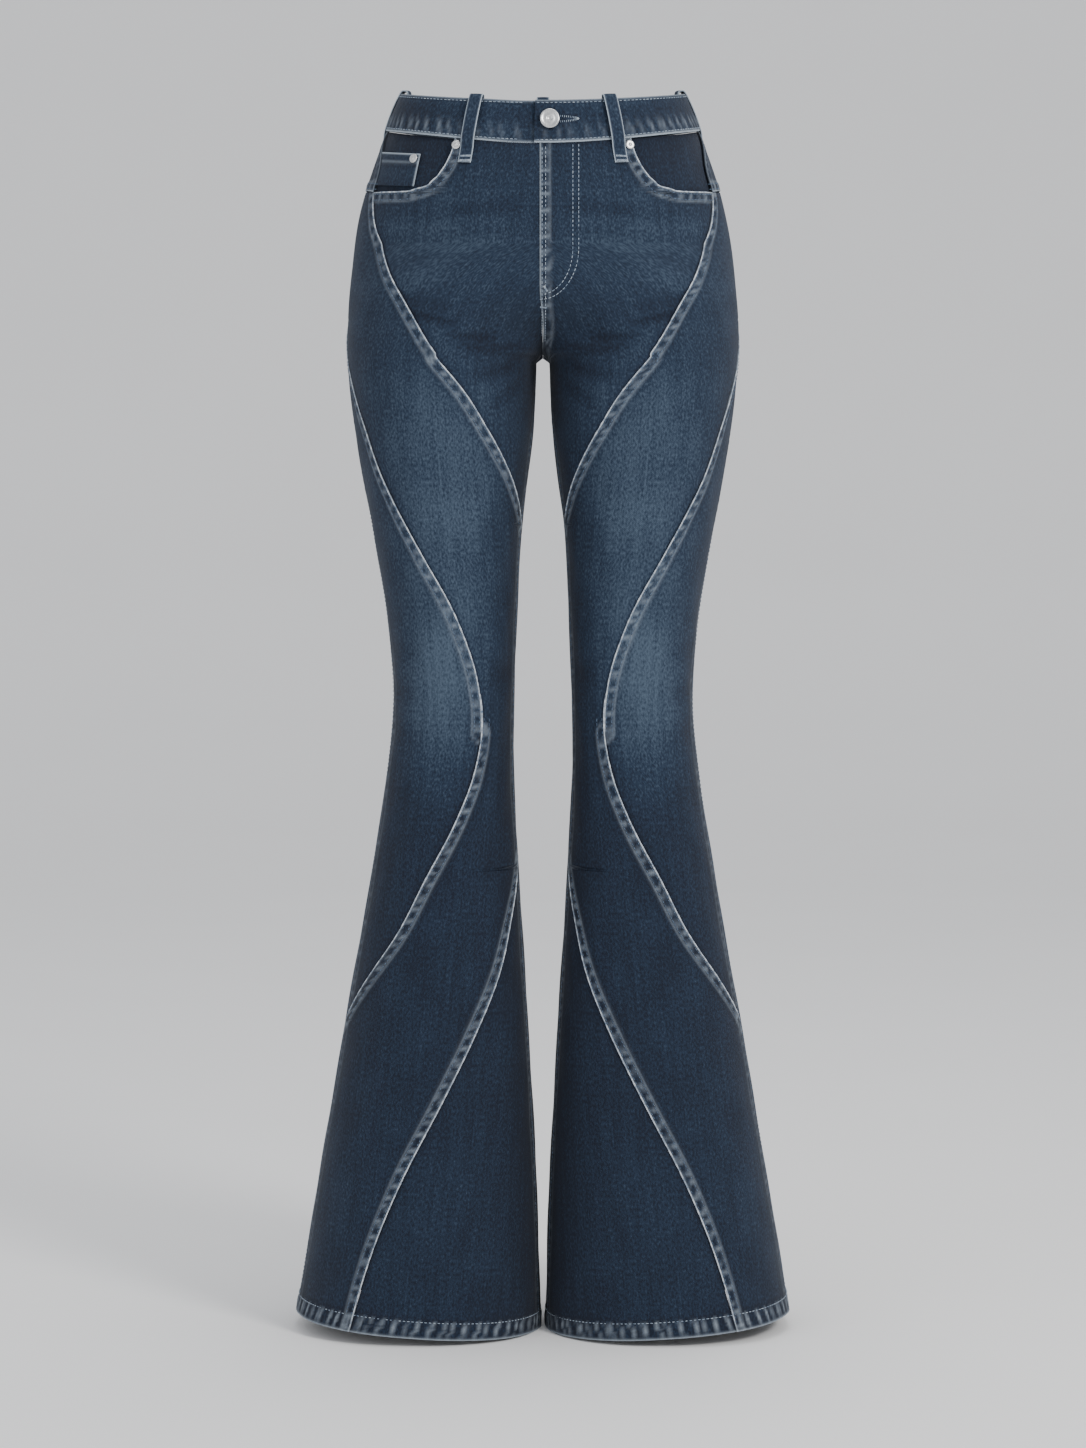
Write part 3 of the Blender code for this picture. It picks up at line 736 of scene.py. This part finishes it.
def cover(piece, material, slot, *nodes):
    """Join a piece to the body, with its material and the solid it stands for."""
    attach(piece, "root")
    piece.data.materials.append(material)
    if nodes:
        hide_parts(*nodes)
    return piece


# ---- The panels ----
SIDE_NAMES = {1: "left", -1: "right"}


def level_rows(heights, low, high, step=STEP):
    """A grid of heights and angles between two edges, each row at one height."""
    angles = column_angles(heights, low, high, step)
    grid = np.repeat(heights[:, None], angles.shape[1], axis=1)
    return grid, angles


def panel(name, side, grid, slot, laps=(), tucked=(), material=DENIM, **kept):
    """A panel that has a partner on the other side."""
    node = f"{name}_{SIDE_NAMES[side]}"
    piece = finish_cloth(f"{node}_cloth", *grid, side, laps, tucked, **kept)
    return cover(piece, material, slot, node)


def front_upper(side):
    below = fine_rows(0.708, POCKET_END - SEAM_GAP / 2)
    share = np.linspace(0, 1, 34)[1:]
    above = POCKET_END + 0.050 * share ** 2.2
    heights = np.concatenate([below, above])
    low = centre_front(heights, side)
    seam_a = shifted(curve(SEAM_A), -1)(heights)
    high = np.where(heights < POCKET_END, seam_a, through(POCKET_EDGE, heights))
    grid, angles = level_rows(heights, low, high)
    limit = band_seam(angles) - SEAM_GAP / 2
    lift = ease((grid - 1.02) / 0.030)
    grid = grid + lift * (limit - 1.050)
    laps = [("pocket", 0.010, 1.0), ("inseam", 0.008, 0.5)]
    tucked = [("a", 0.012, 1.0), ("band", 0.011, 0.8)]
    if side > 0:
        laps.append(("fly", 0.012, 0.9))
    else:
        tucked.append(("fly", 0.012, 0.8))
    return panel("front_upper", side, (grid, angles), "denim", laps, tucked)


def front_sweep(side):
    joints = (GORE_TOP, SEAM_C_END, 0.7068, 0.7075, 0.2712, 0.2718, 0.885)
    heights = fine_rows(0, POCKET_END - SEAM_GAP / 2, joints)
    seam_a = shifted(curve(SEAM_A), 1)(heights)
    seam_b = shifted(curve(SEAM_B), -1)(heights)
    seam_c = shifted(curve(SEAM_C), 1)(heights)
    low = np.where(heights < 0.7072, shifted(inseam, 1)(heights), seam_a)
    low = np.where(heights < SEAM_C_END, seam_c, low)
    beside_knee = (heights > 0.2715) & (heights < KNEE_HIGH)
    high = np.where(beside_knee, seam_b, shifted(curve(SIDE_SEAM), -1)(heights))
    laps = (
        ("a", 0.012, 1.0), ("c", 0.012, 1.0), ("side", 0.009, 0.45), ("inseam", 0.008, 0.5),
        ("b_low", 0.012, 1.0),
    )
    grid = level_rows(heights, low, high)
    return panel("front_sweep", side, grid, "denim", laps, (("b_high", 0.012, 1.0),))


def front_knee(side):
    heights = fine_rows(KNEE_LOW, KNEE_HIGH)
    low = shifted(curve(SEAM_B), 1)(heights)
    grid = level_rows(heights, low, shifted(curve(SIDE_SEAM), -1)(heights))
    laps = (("b_high", 0.012, 1.0), ("side", 0.009, 0.45))
    return panel("front_knee", side, grid, "denim_light", laps, (("b_low", 0.012, 1.0),))


def front_gore(side):
    heights = fine_rows(0, GORE_TOP)
    grid = level_rows(heights, shifted(inseam, 1)(heights), shifted(curve(SEAM_C), -1)(heights))
    return panel("front_gore", side, grid, "denim_dark", (("inseam", 0.008, 0.5),), (("c", 0.012, 1.0),))


def back_leg(side):
    heights = fine_rows(0, 0.960, (), BACK_STEP)
    low = shifted(curve(SIDE_SEAM), 1)(heights)
    grid, angles = level_rows(heights, low, centre_back(heights), BACK_STEP)
    limit = through(YOKE_SEAM, angles) - SEAM_GAP / 2
    grid = grid + ease((grid - 0.90) / 0.060) * (limit - 0.960)
    laps = [("side", 0.009, 0.25), ("inseam", 0.008, 0.3)]
    if side > 0:
        laps.append(("seat", 0.010, 0.8))
    tucked = [("yoke", 0.012, 0.9)] + ([("seat", 0.010, 0.6)] if side < 0 else [])
    return panel("back_leg", side, (grid, angles), "denim", laps, tucked)


def back_yoke(side):
    share = fine_rows(0, 0.080) / 0.080
    front = through(POCKET_SIDE, POCKET_END + 0.0005 + share * 0.0525) + 0.1
    back = np.full(len(share), float(centre_back(np.array(1.0))))
    angles = column_angles(1.0 + share * 0.05, front, back)
    low = through(YOKE_SEAM, angles) + SEAM_GAP / 2
    high = band_seam(angles) - SEAM_GAP / 2
    grid = low + share[:, None] * (high - low)
    laps = (("yoke", 0.011, 1.0), ("pocket_side", 0.009, 0.5))
    return panel("back_yoke", side, (grid, angles), "denim_light", laps, (("band", 0.011, 0.8),))


def pocket_facing(side):
    share = fine_rows(0, 0.070) / 0.070
    heights = 0.985 + share * 0.066
    edge = np.where(heights < POCKET_END, 65.0, through(POCKET_SIDE, heights) - 0.15)
    grid, angles = level_rows(heights, np.full(len(heights), 27.5), edge)
    limit = band_seam(angles) - SEAM_GAP / 2
    grid = grid + ease((grid - 1.03) / 0.021) * (limit - 1.051)
    return panel(
        "pocket_facing", side, (grid, angles), "denim_dark", (), (("band", 0.011, 0.6),), DENIM_PAINTED_SHADOW,
        out=FACING_OUT, creased=False,
    )


def back_pocket(side):
    width, tall, narrower, point = 0.118, 0.150, 0.008, 0.018
    middle, top_height, tilt, stood_off = 0.086, 0.968, 0.004, 0.0013
    share = np.linspace(-1, 1, 44)
    down = np.linspace(1, 0, 52)[:, None]
    x = middle + (width / 2 - narrower * down) * share
    drop = down * (tall - point) + point * ease(down) * (1 - np.abs(share))
    grid = top_height - tilt * share - drop
    angles = 180 - angle_at(grid, x)
    edge = np.minimum(width / 2 * (1 - np.abs(share)), np.minimum(down, 1 - down) * tall)
    relief = 0.00035 * bell(edge - 0.004, 0.003) * uneven(x * 2 + grid * 2, 0.010, side)
    under = raised(grid, angles, stood_off + relief)
    base = raised(grid, angles, CLOTH + stood_off + relief)
    values = {
        "wear": 0.55 * bell(edge, 0.0012) + 0.2 * bell(edge - 0.0045, 0.004) * (relief > 0),
        # painted shade in a band about 8 mm in from the pocket's edge
        "shade": 0.3 * bell(edge - 0.008, 0.003),
        "fade": fading(grid, angles) + 0.05,
        "along": x,
        "lift": grid,
    }
    node = f"back_pocket_{SIDE_NAMES[side]}"
    return cover(grid_mesh(f"{node}_cloth", base, under, values, side), DENIM, "denim_light", node)


def waistband():
    start, end, ramp = -3.1, 373.0, (336.0, 353.0)
    stitches = (0.0022, 0.0312)
    turn = np.linspace(start, end, 300)
    seam = band_seam(turn) + SEAM_GAP / 2
    rows = fine_rows(0, BAND_HEIGHT)
    share = (rows / rows[-1])[:, None]
    heights = seam + share * (TOP - seam)
    angles = np.repeat(turn[None, :], len(rows), axis=0)
    up = share * BAND_HEIGHT
    inward = (BAND_WALL + 0.0004) * ease((turn - ramp[0]) / (ramp[1] - ramp[0]))
    along = np.radians(angles) * 0.115
    waves = uneven(along + 0.25 * up, 0.0105, 4.0)
    sides = 0.35 + 0.65 * ease((np.abs(np.sin(np.radians(angles))) - 0.35) / 0.4)
    relief = 0.0005 * waves * bell(up - 0.009, 0.007) * sides
    relief += 0.0003 * uneven(along - 0.2 * up, 0.014, 1.0) * bell(up - 0.030, 0.004)
    relief -= 0.0003 * (bell(up - stitches[0], 0.0008) + bell(up - stitches[1], 0.0008))
    rounding = -0.0007 * (bell(up, 0.0007) + bell(up - BAND_HEIGHT, 0.0007))
    out = BAND_OUT - inward + relief + rounding
    wear = 0.30 * waves.clip(0, 1) * bell(up - 0.008, 0.006) * sides
    wear = wear + 0.75 * bell(up, 0.0013) + 0.35 * bell(up - BAND_HEIGHT, 0.0012)
    # painted shade in the troughs of the band's puckers, and below along the band's middle
    shade = 0.5 * (-waves).clip(0, 1) * bell(up - 0.009, 0.007) * sides
    values = {
        "wear": wear,
        "shade": shade + 0.25 * bell(up - 0.020, 0.006),
        "fade": 0.33 + 0.08 * np.sin(along * 30),
        "along": along,
        "lift": heights,
    }
    outer = raised(heights, angles, out)
    inner = raised(heights, angles, out - BAND_WALL - rounding * 2)
    return cover(grid_mesh("waistband_cloth", outer, inner, values, 1), DENIM, "denim", "waistband")


def fly_shield():
    heights = np.linspace(0.950, 1.046, 30)
    grid, angles = level_rows(heights, angle_at(heights, -0.011), angle_at(heights, 0.032))
    piece = finish_cloth("fly_shield_cloth", grid, angles, 1, out=FACING_OUT, creased=False)
    return cover(piece, DENIM_PAINTED_SHADOW, "denim_dark", "fly_shield")


def coin_pocket():
    bottom, top = 1.0066, 1.0355
    heights = np.linspace(bottom, top, 16)
    low = np.linspace(44.6, 45.4, 16)
    grid, angles = level_rows(heights, low, through(POCKET_SIDE, heights) - 0.9)
    down = top - grid
    edge = np.minimum(down, (angles - low[:, None]) * 0.0025)
    base = raised(grid, angles, -0.0003 - 0.0003 * bell(edge - 0.0045, 0.002))
    under = raised(grid, angles, -0.0013)
    values = {
        "wear": 0.8 * bell(edge, 0.0010) + 0.25 * bell(down - 0.0082, 0.0010),
        # painted shade under the pocket's top hem and along its lower edge
        "shade": 0.5 * bell(down - 0.0105, 0.0015) + 0.4 * bell(grid - 1.006, 0.006),
        "fade": fading(grid, angles) + 0.02,
        "along": np.radians(angles) * 0.14,
        "lift": grid,
    }
    piece = grid_mesh("coin_pocket_cloth", base, under, values, -1)
    return cover(piece, DENIM, "denim_light", "coin_pocket")


BELT_LOOPS = (
    # place, angle, side
    ("front_left", 26.6, 1), ("front_right", 26.6, -1), ("side_left", 104.0, 1), ("side_right", 104.0, -1),
    ("back", 180.0, 1),
)
LOOP_WIDTH = 0.0115
LOOP_PATH = np.array([
    # height, out: the middle of the strip, from its lower end up over the top edge
    (1.0290, 0.00115), (1.0410, 0.00125), (1.0470, 0.00280), (1.0530, 0.00420), (1.0680, 0.00470),
    (1.0800, 0.00440), (1.0871, 0.00360), (1.0890, 0.00140), (1.0888, -0.00140), (1.0852, -0.00300),
    (1.0780, -0.00310),
])


def belt_loop(place, angle, side):
    share = np.linspace(0, len(LOOP_PATH) - 1, 66)
    keys = np.arange(len(LOOP_PATH), dtype=float)
    path = np.stack([through(np.stack([keys, column], axis=1), share) for column in LOOP_PATH.T], axis=1)
    direction = unit(np.gradient(path, axis=0))
    aside = np.stack([-direction[:, 1], direction[:, 0]], axis=1)
    low = np.minimum(path[:, 0], TOP)
    half = LOOP_WIDTH / 2 / per_degree(low, angle)
    across = np.array([-1, -0.94, -0.85, -0.7, -0.5, -0.25, 0, 0.25, 0.5, 0.7, 0.85, 0.94, 1])
    angles = angle + half[:, None] * across
    spread = np.abs(across)
    pad = 0.0008 - 0.0004 * spread ** 12 - 0.0002 * bell(spread - 0.62, 0.1)
    grids = []
    for facing in (1, -1):
        line = path[:, None, :] + aside[:, None, :] * (pad[None, :, None] * facing)
        below = np.minimum(line[..., 0], TOP - 0.001)
        rise = unit(form(below, angles) - form(below - 0.001, angles))
        grids.append(raised(below, angles, line[..., 1]) + (line[..., 0] - below)[..., None] * rise)
    values = {
        "wear": 0.95 * bell(spread - 1, 0.10) + 0.5 * bell(path[:, :1] - LOOP_PATH[0, 0], 0.0012),
        # painted shade on both sides of the strip, where its padding falls away
        "shade": 0.2 * bell(spread - 0.62, 0.12),
        "fade": 0.46,
        "along": across * 0.006,
        "lift": path[:, :1],
    }
    node = f"belt_loop_{place}"
    return cover(grid_mesh(f"{node}_cloth", *grids, values, side), DENIM, "denim_light", node)


# ---- Folded edges and stitches ----
FLATTENED = 0.8          # height of a thread or fold over its width


class Joined:
    """Many small tubes gathered into one mesh."""

    def __init__(self):
        self.points = []
        self.faces = []
        self.count = 0

    def tube(self, path, radii, up, sides=5):
        """A closed tube on a path, a little flattened against the cloth."""
        direction = unit(np.gradient(path, axis=0))
        across = unit(np.cross(direction, up))
        lifted = np.cross(across, direction)
        turn = np.linspace(0, 2 * np.pi, sides, endpoint=False)[None, :, None]
        radii = np.broadcast_to(radii, len(path))[:, None, None]
        section = np.cos(turn) * across[:, None] + FLATTENED * np.sin(turn) * lifted[:, None]
        rings = path[:, None] + radii * section
        end = self.count + len(path) * sides
        self.points.append(rings.reshape(-1, 3))
        self.faces += ring_faces(self.count, len(path), sides)
        self.faces.append([*range(self.count, self.count + sides)][::-1])
        self.faces.append([*range(end - sides, end)])
        self.count = end

    def piece(self, name, material, slot):
        made = smooth_object(name, np.concatenate(self.points).tolist(), self.faces)
        cover(made, material, slot)

    def bar(self, centre, across, normal, radius):
        """One short straight stitch of a bar tack or buttonhole."""
        path = np.stack([centre + across * 0.0008 * end for end in (-1, -0.5, 0.5, 1)])
        self.tube(path, radius, np.tile(normal, (4, 1)))


def seam_path(heights, angles, away, out, side):
    """Points beside a seam: moved across the cloth by away, and out from it."""
    line = form(heights, angles)
    normal = outward(heights, angles)
    across = np.cross(normal, unit(np.gradient(line, axis=0)))
    moved = line + away * across + out * normal
    return moved * (side, 1, 1), normal * (side, 1, 1)


FOLD_AWAY = 0.00045      # the fold lies this far from the seam, on the lapped side
FOLD_SPACING = 0.0030
FOLDS = (
    # seam, lowest and highest height, side of the seam that laps, radius, out
    ("a", 0.706, 1.000, -1, 0.00062, 0.00060),
    ("b", 0.525, 0.886, -1, 0.00062, 0.00060),
    ("b", 0.268, 0.560, 1, 0.00062, 0.00060),
    ("c", 0.000, 0.408, -1, 0.00062, 0.00060),
    ("pocket", 1.0000, 1.0500, 1, 0.00060, 0.00050),
)


def part_of(line, low, high):
    heights, angles = LINES[line]
    keep = (heights >= low) & (heights <= high)
    return heights[keep], angles[keep]


def folded_edges(side):
    """The pale abraded fold that runs along each lapped seam."""
    edges = Joined()
    for line, low, high, direction, radius, out in FOLDS:
        heights, angles = part_of(line, low, high)
        path, normal = seam_path(heights, angles, direction * FOLD_AWAY, out, side)
        along = lengths_along(path)
        count = int(along[-1] / FOLD_SPACING) + 1
        path = interpolated(np.linspace(0, along[-1], count), along, path)
        rows = np.arange(len(normal))
        normal = interpolated(np.linspace(0, rows[-1], count), rows, normal)
        steps = np.arange(count)
        wobble = 1 + 0.16 * np.sin(steps * 1.7 + side)
        wobble += 0.1 * RANDOM.normal(size=count).clip(-1, 1)
        taper = ease(np.minimum(steps, steps[::-1]) / 6 + 0.25)
        edges.tube(path, radius * wobble * taper, normal, 6)
    edges.piece(f"seam_folds_{SIDE_NAMES[side]}", EDGE, "denim_light")


STITCH = 0.0027
STITCH_GAP = 0.0011
STITCH_NEAR, STITCH_FAR = 0.0022, 0.0072     # the two rows of a lapped seam, from its edge
LAPPED = (
    # seam, lowest and highest height, side of the seam that laps
    ("a", 0.712, 1.000, -1), ("b", 0.525, 0.878, -1), ("b", 0.276, 0.540, 1), ("c", 0.003, 0.400, -1),
    ("pocket", 1.0000, 1.0490, 1),
)
STITCH_ROWS = [(*row, away, 0.00046) for row in LAPPED for away in (STITCH_NEAR, STITCH_FAR)] + [
    # seam, lowest and highest height, side, away from the seam, out
    ("side", 0.003, 0.995, -1, 0.0030, 0.00035),
    ("inseam", 0.003, 0.845, -1, 0.0030, 0.00035),
    ("seat", 0.870, 0.960, 1, 0.0030, 0.00030),
    ("seat", 0.870, 0.960, 1, 0.0075, 0.00030),
]


def stitches_along(joined, path, normal, radius=0.00030):
    """A row of stitches whose ends dip into the cloth."""
    along = lengths_along(path)
    start = 0.0
    while start + STITCH < along[-1]:
        places = start + STITCH * np.array([0, 0.25, 0.75, 1.0])
        point = interpolated(places, along, path)
        facing = interpolated(places, along, normal)
        for end in (0, -1):
            point[end] -= facing[end] * radius * 1.6
        joined.tube(point, np.array([0.6, 1.0, 1.0, 0.6]) * radius, facing)
        start += STITCH + STITCH_GAP


def stitching(side):
    joined = Joined()
    for line, low, high, direction, across, out in STITCH_ROWS:
        if line == "seat" and side < 0:
            continue
        heights, angles = part_of(line, low, high)
        path, normal = seam_path(heights, angles, direction * across, out, side)
        stitches_along(joined, path, normal)
    angles = np.linspace(66, 179.5, 300)
    for away in (0.0025, 0.0072):
        path, normal = seam_path(through(YOKE_SEAM, angles), angles, away, 0.0005, side)
        stitches_along(joined, path, normal)
    joined.piece(f"seam_stitches_{SIDE_NAMES[side]}", THREAD, "denim_dark")


def trim_stitching():
    """Paler stitches: hem, waistband and fly."""
    fly_bend, fly_top = 0.952, 1.0465
    joined = Joined()
    for side in (1, -1):
        path, normal = seam_path(HEM_FOLD - 0.0018, np.linspace(-77, 281, 700), 0, 0.00045, side)
        stitches_along(joined, path, normal, 0.00034)
    turn = np.linspace(-2.5, 352, 700)
    for heights, out in ((band_seam(turn) + 0.0026, BAND_OUT + 0.0001), (TOP - 0.0026, BAND_OUT)):
        path, normal = seam_path(heights, turn, 0, out, 1)
        stitches_along(joined, path, normal, 0.00030)
    bend = np.linspace(0, 1, 60) * np.pi / 2
    for away, drop in ((0.0285, 0.044), (0.0335, 0.0484)):
        straight = np.linspace(fly_bend, fly_top, 120)[::-1]
        heights = np.concatenate([straight, fly_bend - drop * np.sin(bend)])
        x = FLY_EDGE + away * np.concatenate([np.ones(120), np.cos(bend)])
        path, normal = seam_path(heights, angle_at(heights, x), 0, 0.00035, 1)
        stitches_along(joined, path, normal, 0.00032)
    for away in (0.0022, 0.0052):
        heights = np.linspace(0.868, fly_top, 200)
        path, normal = seam_path(heights, angle_at(heights, FLY_EDGE + away), 0, 0.00075, 1)
        stitches_along(joined, path, normal, 0.00030)
    joined.piece("trim_stitches", PALE_THREAD, "denim_light")


def spot(height, angle, out, side=1):
    """A point on the cloth and the way it faces."""
    return raised(height, angle, out) * (side, 1, 1), outward(height, angle) * (side, 1, 1)


def bar_tacks():
    """Short dense bars of thread where seams are under strain."""
    spacing = 0.0006
    joined = Joined()

    def tack(height, angle, length, tilt, side, out):
        base, normal = spot(height, angle, out, side)
        flat = unit(np.cross(normal, (0, 0, 1.0)))
        line = math.cos(tilt) * flat + math.sin(tilt) * np.cross(flat, normal)
        for turn in range(int(length / spacing)):
            centre = base + line * (turn * spacing - length / 2)
            joined.bar(centre, np.cross(line, normal), normal, 0.00026)

    tack(0.914, angle_at(0.914, 0.002), 0.006, math.radians(60), 1, 0.0010)
    tack(0.897, angle_at(0.897, 0.000), 0.006, math.radians(10), 1, 0.0010)
    for _, angle, side in BELT_LOOPS:
        for height in (1.0305, 1.0345):
            tack(height, angle, 0.0098, 0, side, 0.0022)
    joined.piece("bar_tacks", PALE_THREAD, "denim_light")


def buttonhole():
    """Keyhole buttonhole: dense stitches round a slit beside the button."""
    joined = Joined()
    for turn in np.arange(46) * 2 * math.pi / 46:
        x = 0.0175 + 0.0125 * math.cos(turn)
        height = 1.0690 + 0.0018 * math.sin(turn) * (1.25 - 0.45 * math.cos(turn))
        base, normal = spot(height, angle_at(height, x), BAND_OUT + 0.0003)
        away = unit(np.array([0.35 * math.cos(turn), 0, math.sin(turn)]))
        joined.bar(base, away, normal, 0.00024)
    joined.piece("buttonhole_stitches", PALE_THREAD, "denim_light")


# ---- Metal ----
BUTTON = (
    # radius, height
    (0.0, 0.0), (0.0035, 0.0), (0.0035, 0.0013), (0.0076, 0.0014), (0.0084, 0.0018), (0.0086, 0.0026),
    (0.0083, 0.0034), (0.0076, 0.0039), (0.0068, 0.0039), (0.0062, 0.0034), (0.0056, 0.0033),
    (0.0040, 0.0034), (0.0032, 0.0037), (0.0026, 0.0036), (0.0022, 0.0030), (0.0012, 0.0026), (0.0, 0.0026),
)
RIVET = (
    # radius, height
    (0.0, 0.0), (0.0038, 0.0), (0.0041, 0.0004), (0.0039, 0.0009), (0.0032, 0.0013), (0.0024, 0.0013),
    (0.0019, 0.0011), (0.0015, 0.0013), (0.0011, 0.0017), (0.0, 0.0019),
)


def fitting(name, node, profile, height, angle, out, side):
    """A turned metal piece: its profile spun round the way the cloth faces."""
    turns = 40
    step = np.arange(turns)
    after = (step + 1) % turns
    rows = profile[1:-1]
    points = [(0.0, 0.0, profile[0][1])]
    for radius, lift in rows:
        points += [(radius * math.cos(t), radius * math.sin(t), lift) for t in step * 2 * math.pi / turns]
    points.append((0.0, 0.0, profile[-1][1]))
    faces = np.stack([0 * step, 1 + after, 1 + step], axis=1).tolist()
    faces += ring_faces(1, len(rows), turns)
    last = 1 + (len(rows) - 1) * turns
    faces += np.stack([last + step, last + after, 0 * step + len(points) - 1], axis=1).tolist()
    made = smooth_object(name, points, faces)
    base, normal = spot(height, angle, out, side)
    spin = Vector(normal).to_track_quat("Z", "Y").to_matrix().to_4x4()
    made.matrix_world = Matrix.Translation(Vector(base)) @ spin
    cover(made, STEEL, "brushed_steel", node)


# ---- Stage ----
def stage():
    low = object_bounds()[0][2]
    depth = [(-6.0, 0.0), (4.0, 0.0), (4.8, 0.06), (5.4, 0.26), (5.8, 0.66), (6.0, 1.3), (6.1, 5.0)]
    points = [(x, y, low + z) for y, z in depth for x in (-9.0, 9.0)]
    faces = [(2 * row, 2 * row + 1, 2 * row + 3, 2 * row + 2) for row in range(len(depth) - 1)]
    floor = smooth_object("studio_sweep", points, faces)
    shader = Shader("pale_paper")
    cloudy = shader.noise(shader.place(), 3)
    tone = shader.mixed(cloudy, (0.86, 0.855, 0.85, 1), (0.89, 0.885, 0.88, 1))
    floor.data.materials.append(shader.finish({"Base Color": tone, "Roughness": 0.9}))
    floor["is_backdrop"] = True


def area_light(name, place, target, size, power, colour=(1, 1, 1)):
    data = bpy.data.lights.new(name, "AREA")
    data.shape = "DISK"
    data.size, data.energy, data.color = size, power, colour
    made = add_object(name, data)
    made.location = place
    direction = Vector(target) - Vector(place)
    made.rotation_euler = direction.to_track_quat("-Z", "Y").to_euler()


def light():
    world = bpy.data.worlds.new("studio")
    world.use_nodes = True
    background = world.node_tree.nodes["Background"]
    background.inputs["Color"].default_value = (0.88, 0.90, 0.94, 1)
    background.inputs["Strength"].default_value = 0.94
    bpy.context.scene.world = world
    area_light("key", (1.9, -2.3, 1.2), (0, 0, -0.45), 0.9, 70, (1.0, 0.985, 0.96))
    area_light("fill", (-2.4, -2.4, 0.2), (0, 0, -0.5), 2.2, 16, (0.92, 0.96, 1.0))
    area_light("top", (0.3, 0.4, 2.4), (0, 0, -0.6), 1.6, 20)


CAMERA_HEIGHT = 0.68     # above the hem
CAMERA_DISTANCE = 3.03
CAMERA_PITCH = 2.82      # degrees down
CAMERA_LENS = 84.9


def camera():
    data = bpy.data.cameras.new("camera")
    data.lens = CAMERA_LENS
    data.sensor_width = 36
    made = add_object("camera", data)
    made.location = (0, -CAMERA_DISTANCE, CAMERA_HEIGHT - WAIST_HEIGHT)
    made.rotation_euler = (math.radians(90 - CAMERA_PITCH), 0, 0)
    bpy.context.scene.camera = made


def main():
    camera()
    paired = (
        front_upper, front_sweep, front_knee, front_gore, back_leg, back_yoke, pocket_facing, back_pocket,
    )
    panels = [(make.__name__, make(side)) for side in SIDE_NAMES for make in paired]
    panels += [(make.__name__, make()) for make in (waistband, fly_shield, coin_pocket)]
    panels += [("belt_loop", belt_loop(*row)) for row in BELT_LOOPS]
    for side in SIDE_NAMES:
        folded_edges(side)
        stitching(side)
    trim_stitching()
    bar_tacks()
    buttonhole()
    fitting("button", "waist_button", BUTTON, 1.0688, 2.5, BAND_OUT + 0.0003, 1)
    for side, place in SIDE_NAMES.items():
        fitting(f"pocket_rivet_{place}", f"rivet_pocket_{place}", RIVET, 1.0445, 30.9, 0.0006, side)
    fitting("coin_rivet", "rivet_coin", RIVET, 1.0310, 47.8, 0.0001, -1)
    stage()
    light()


main()
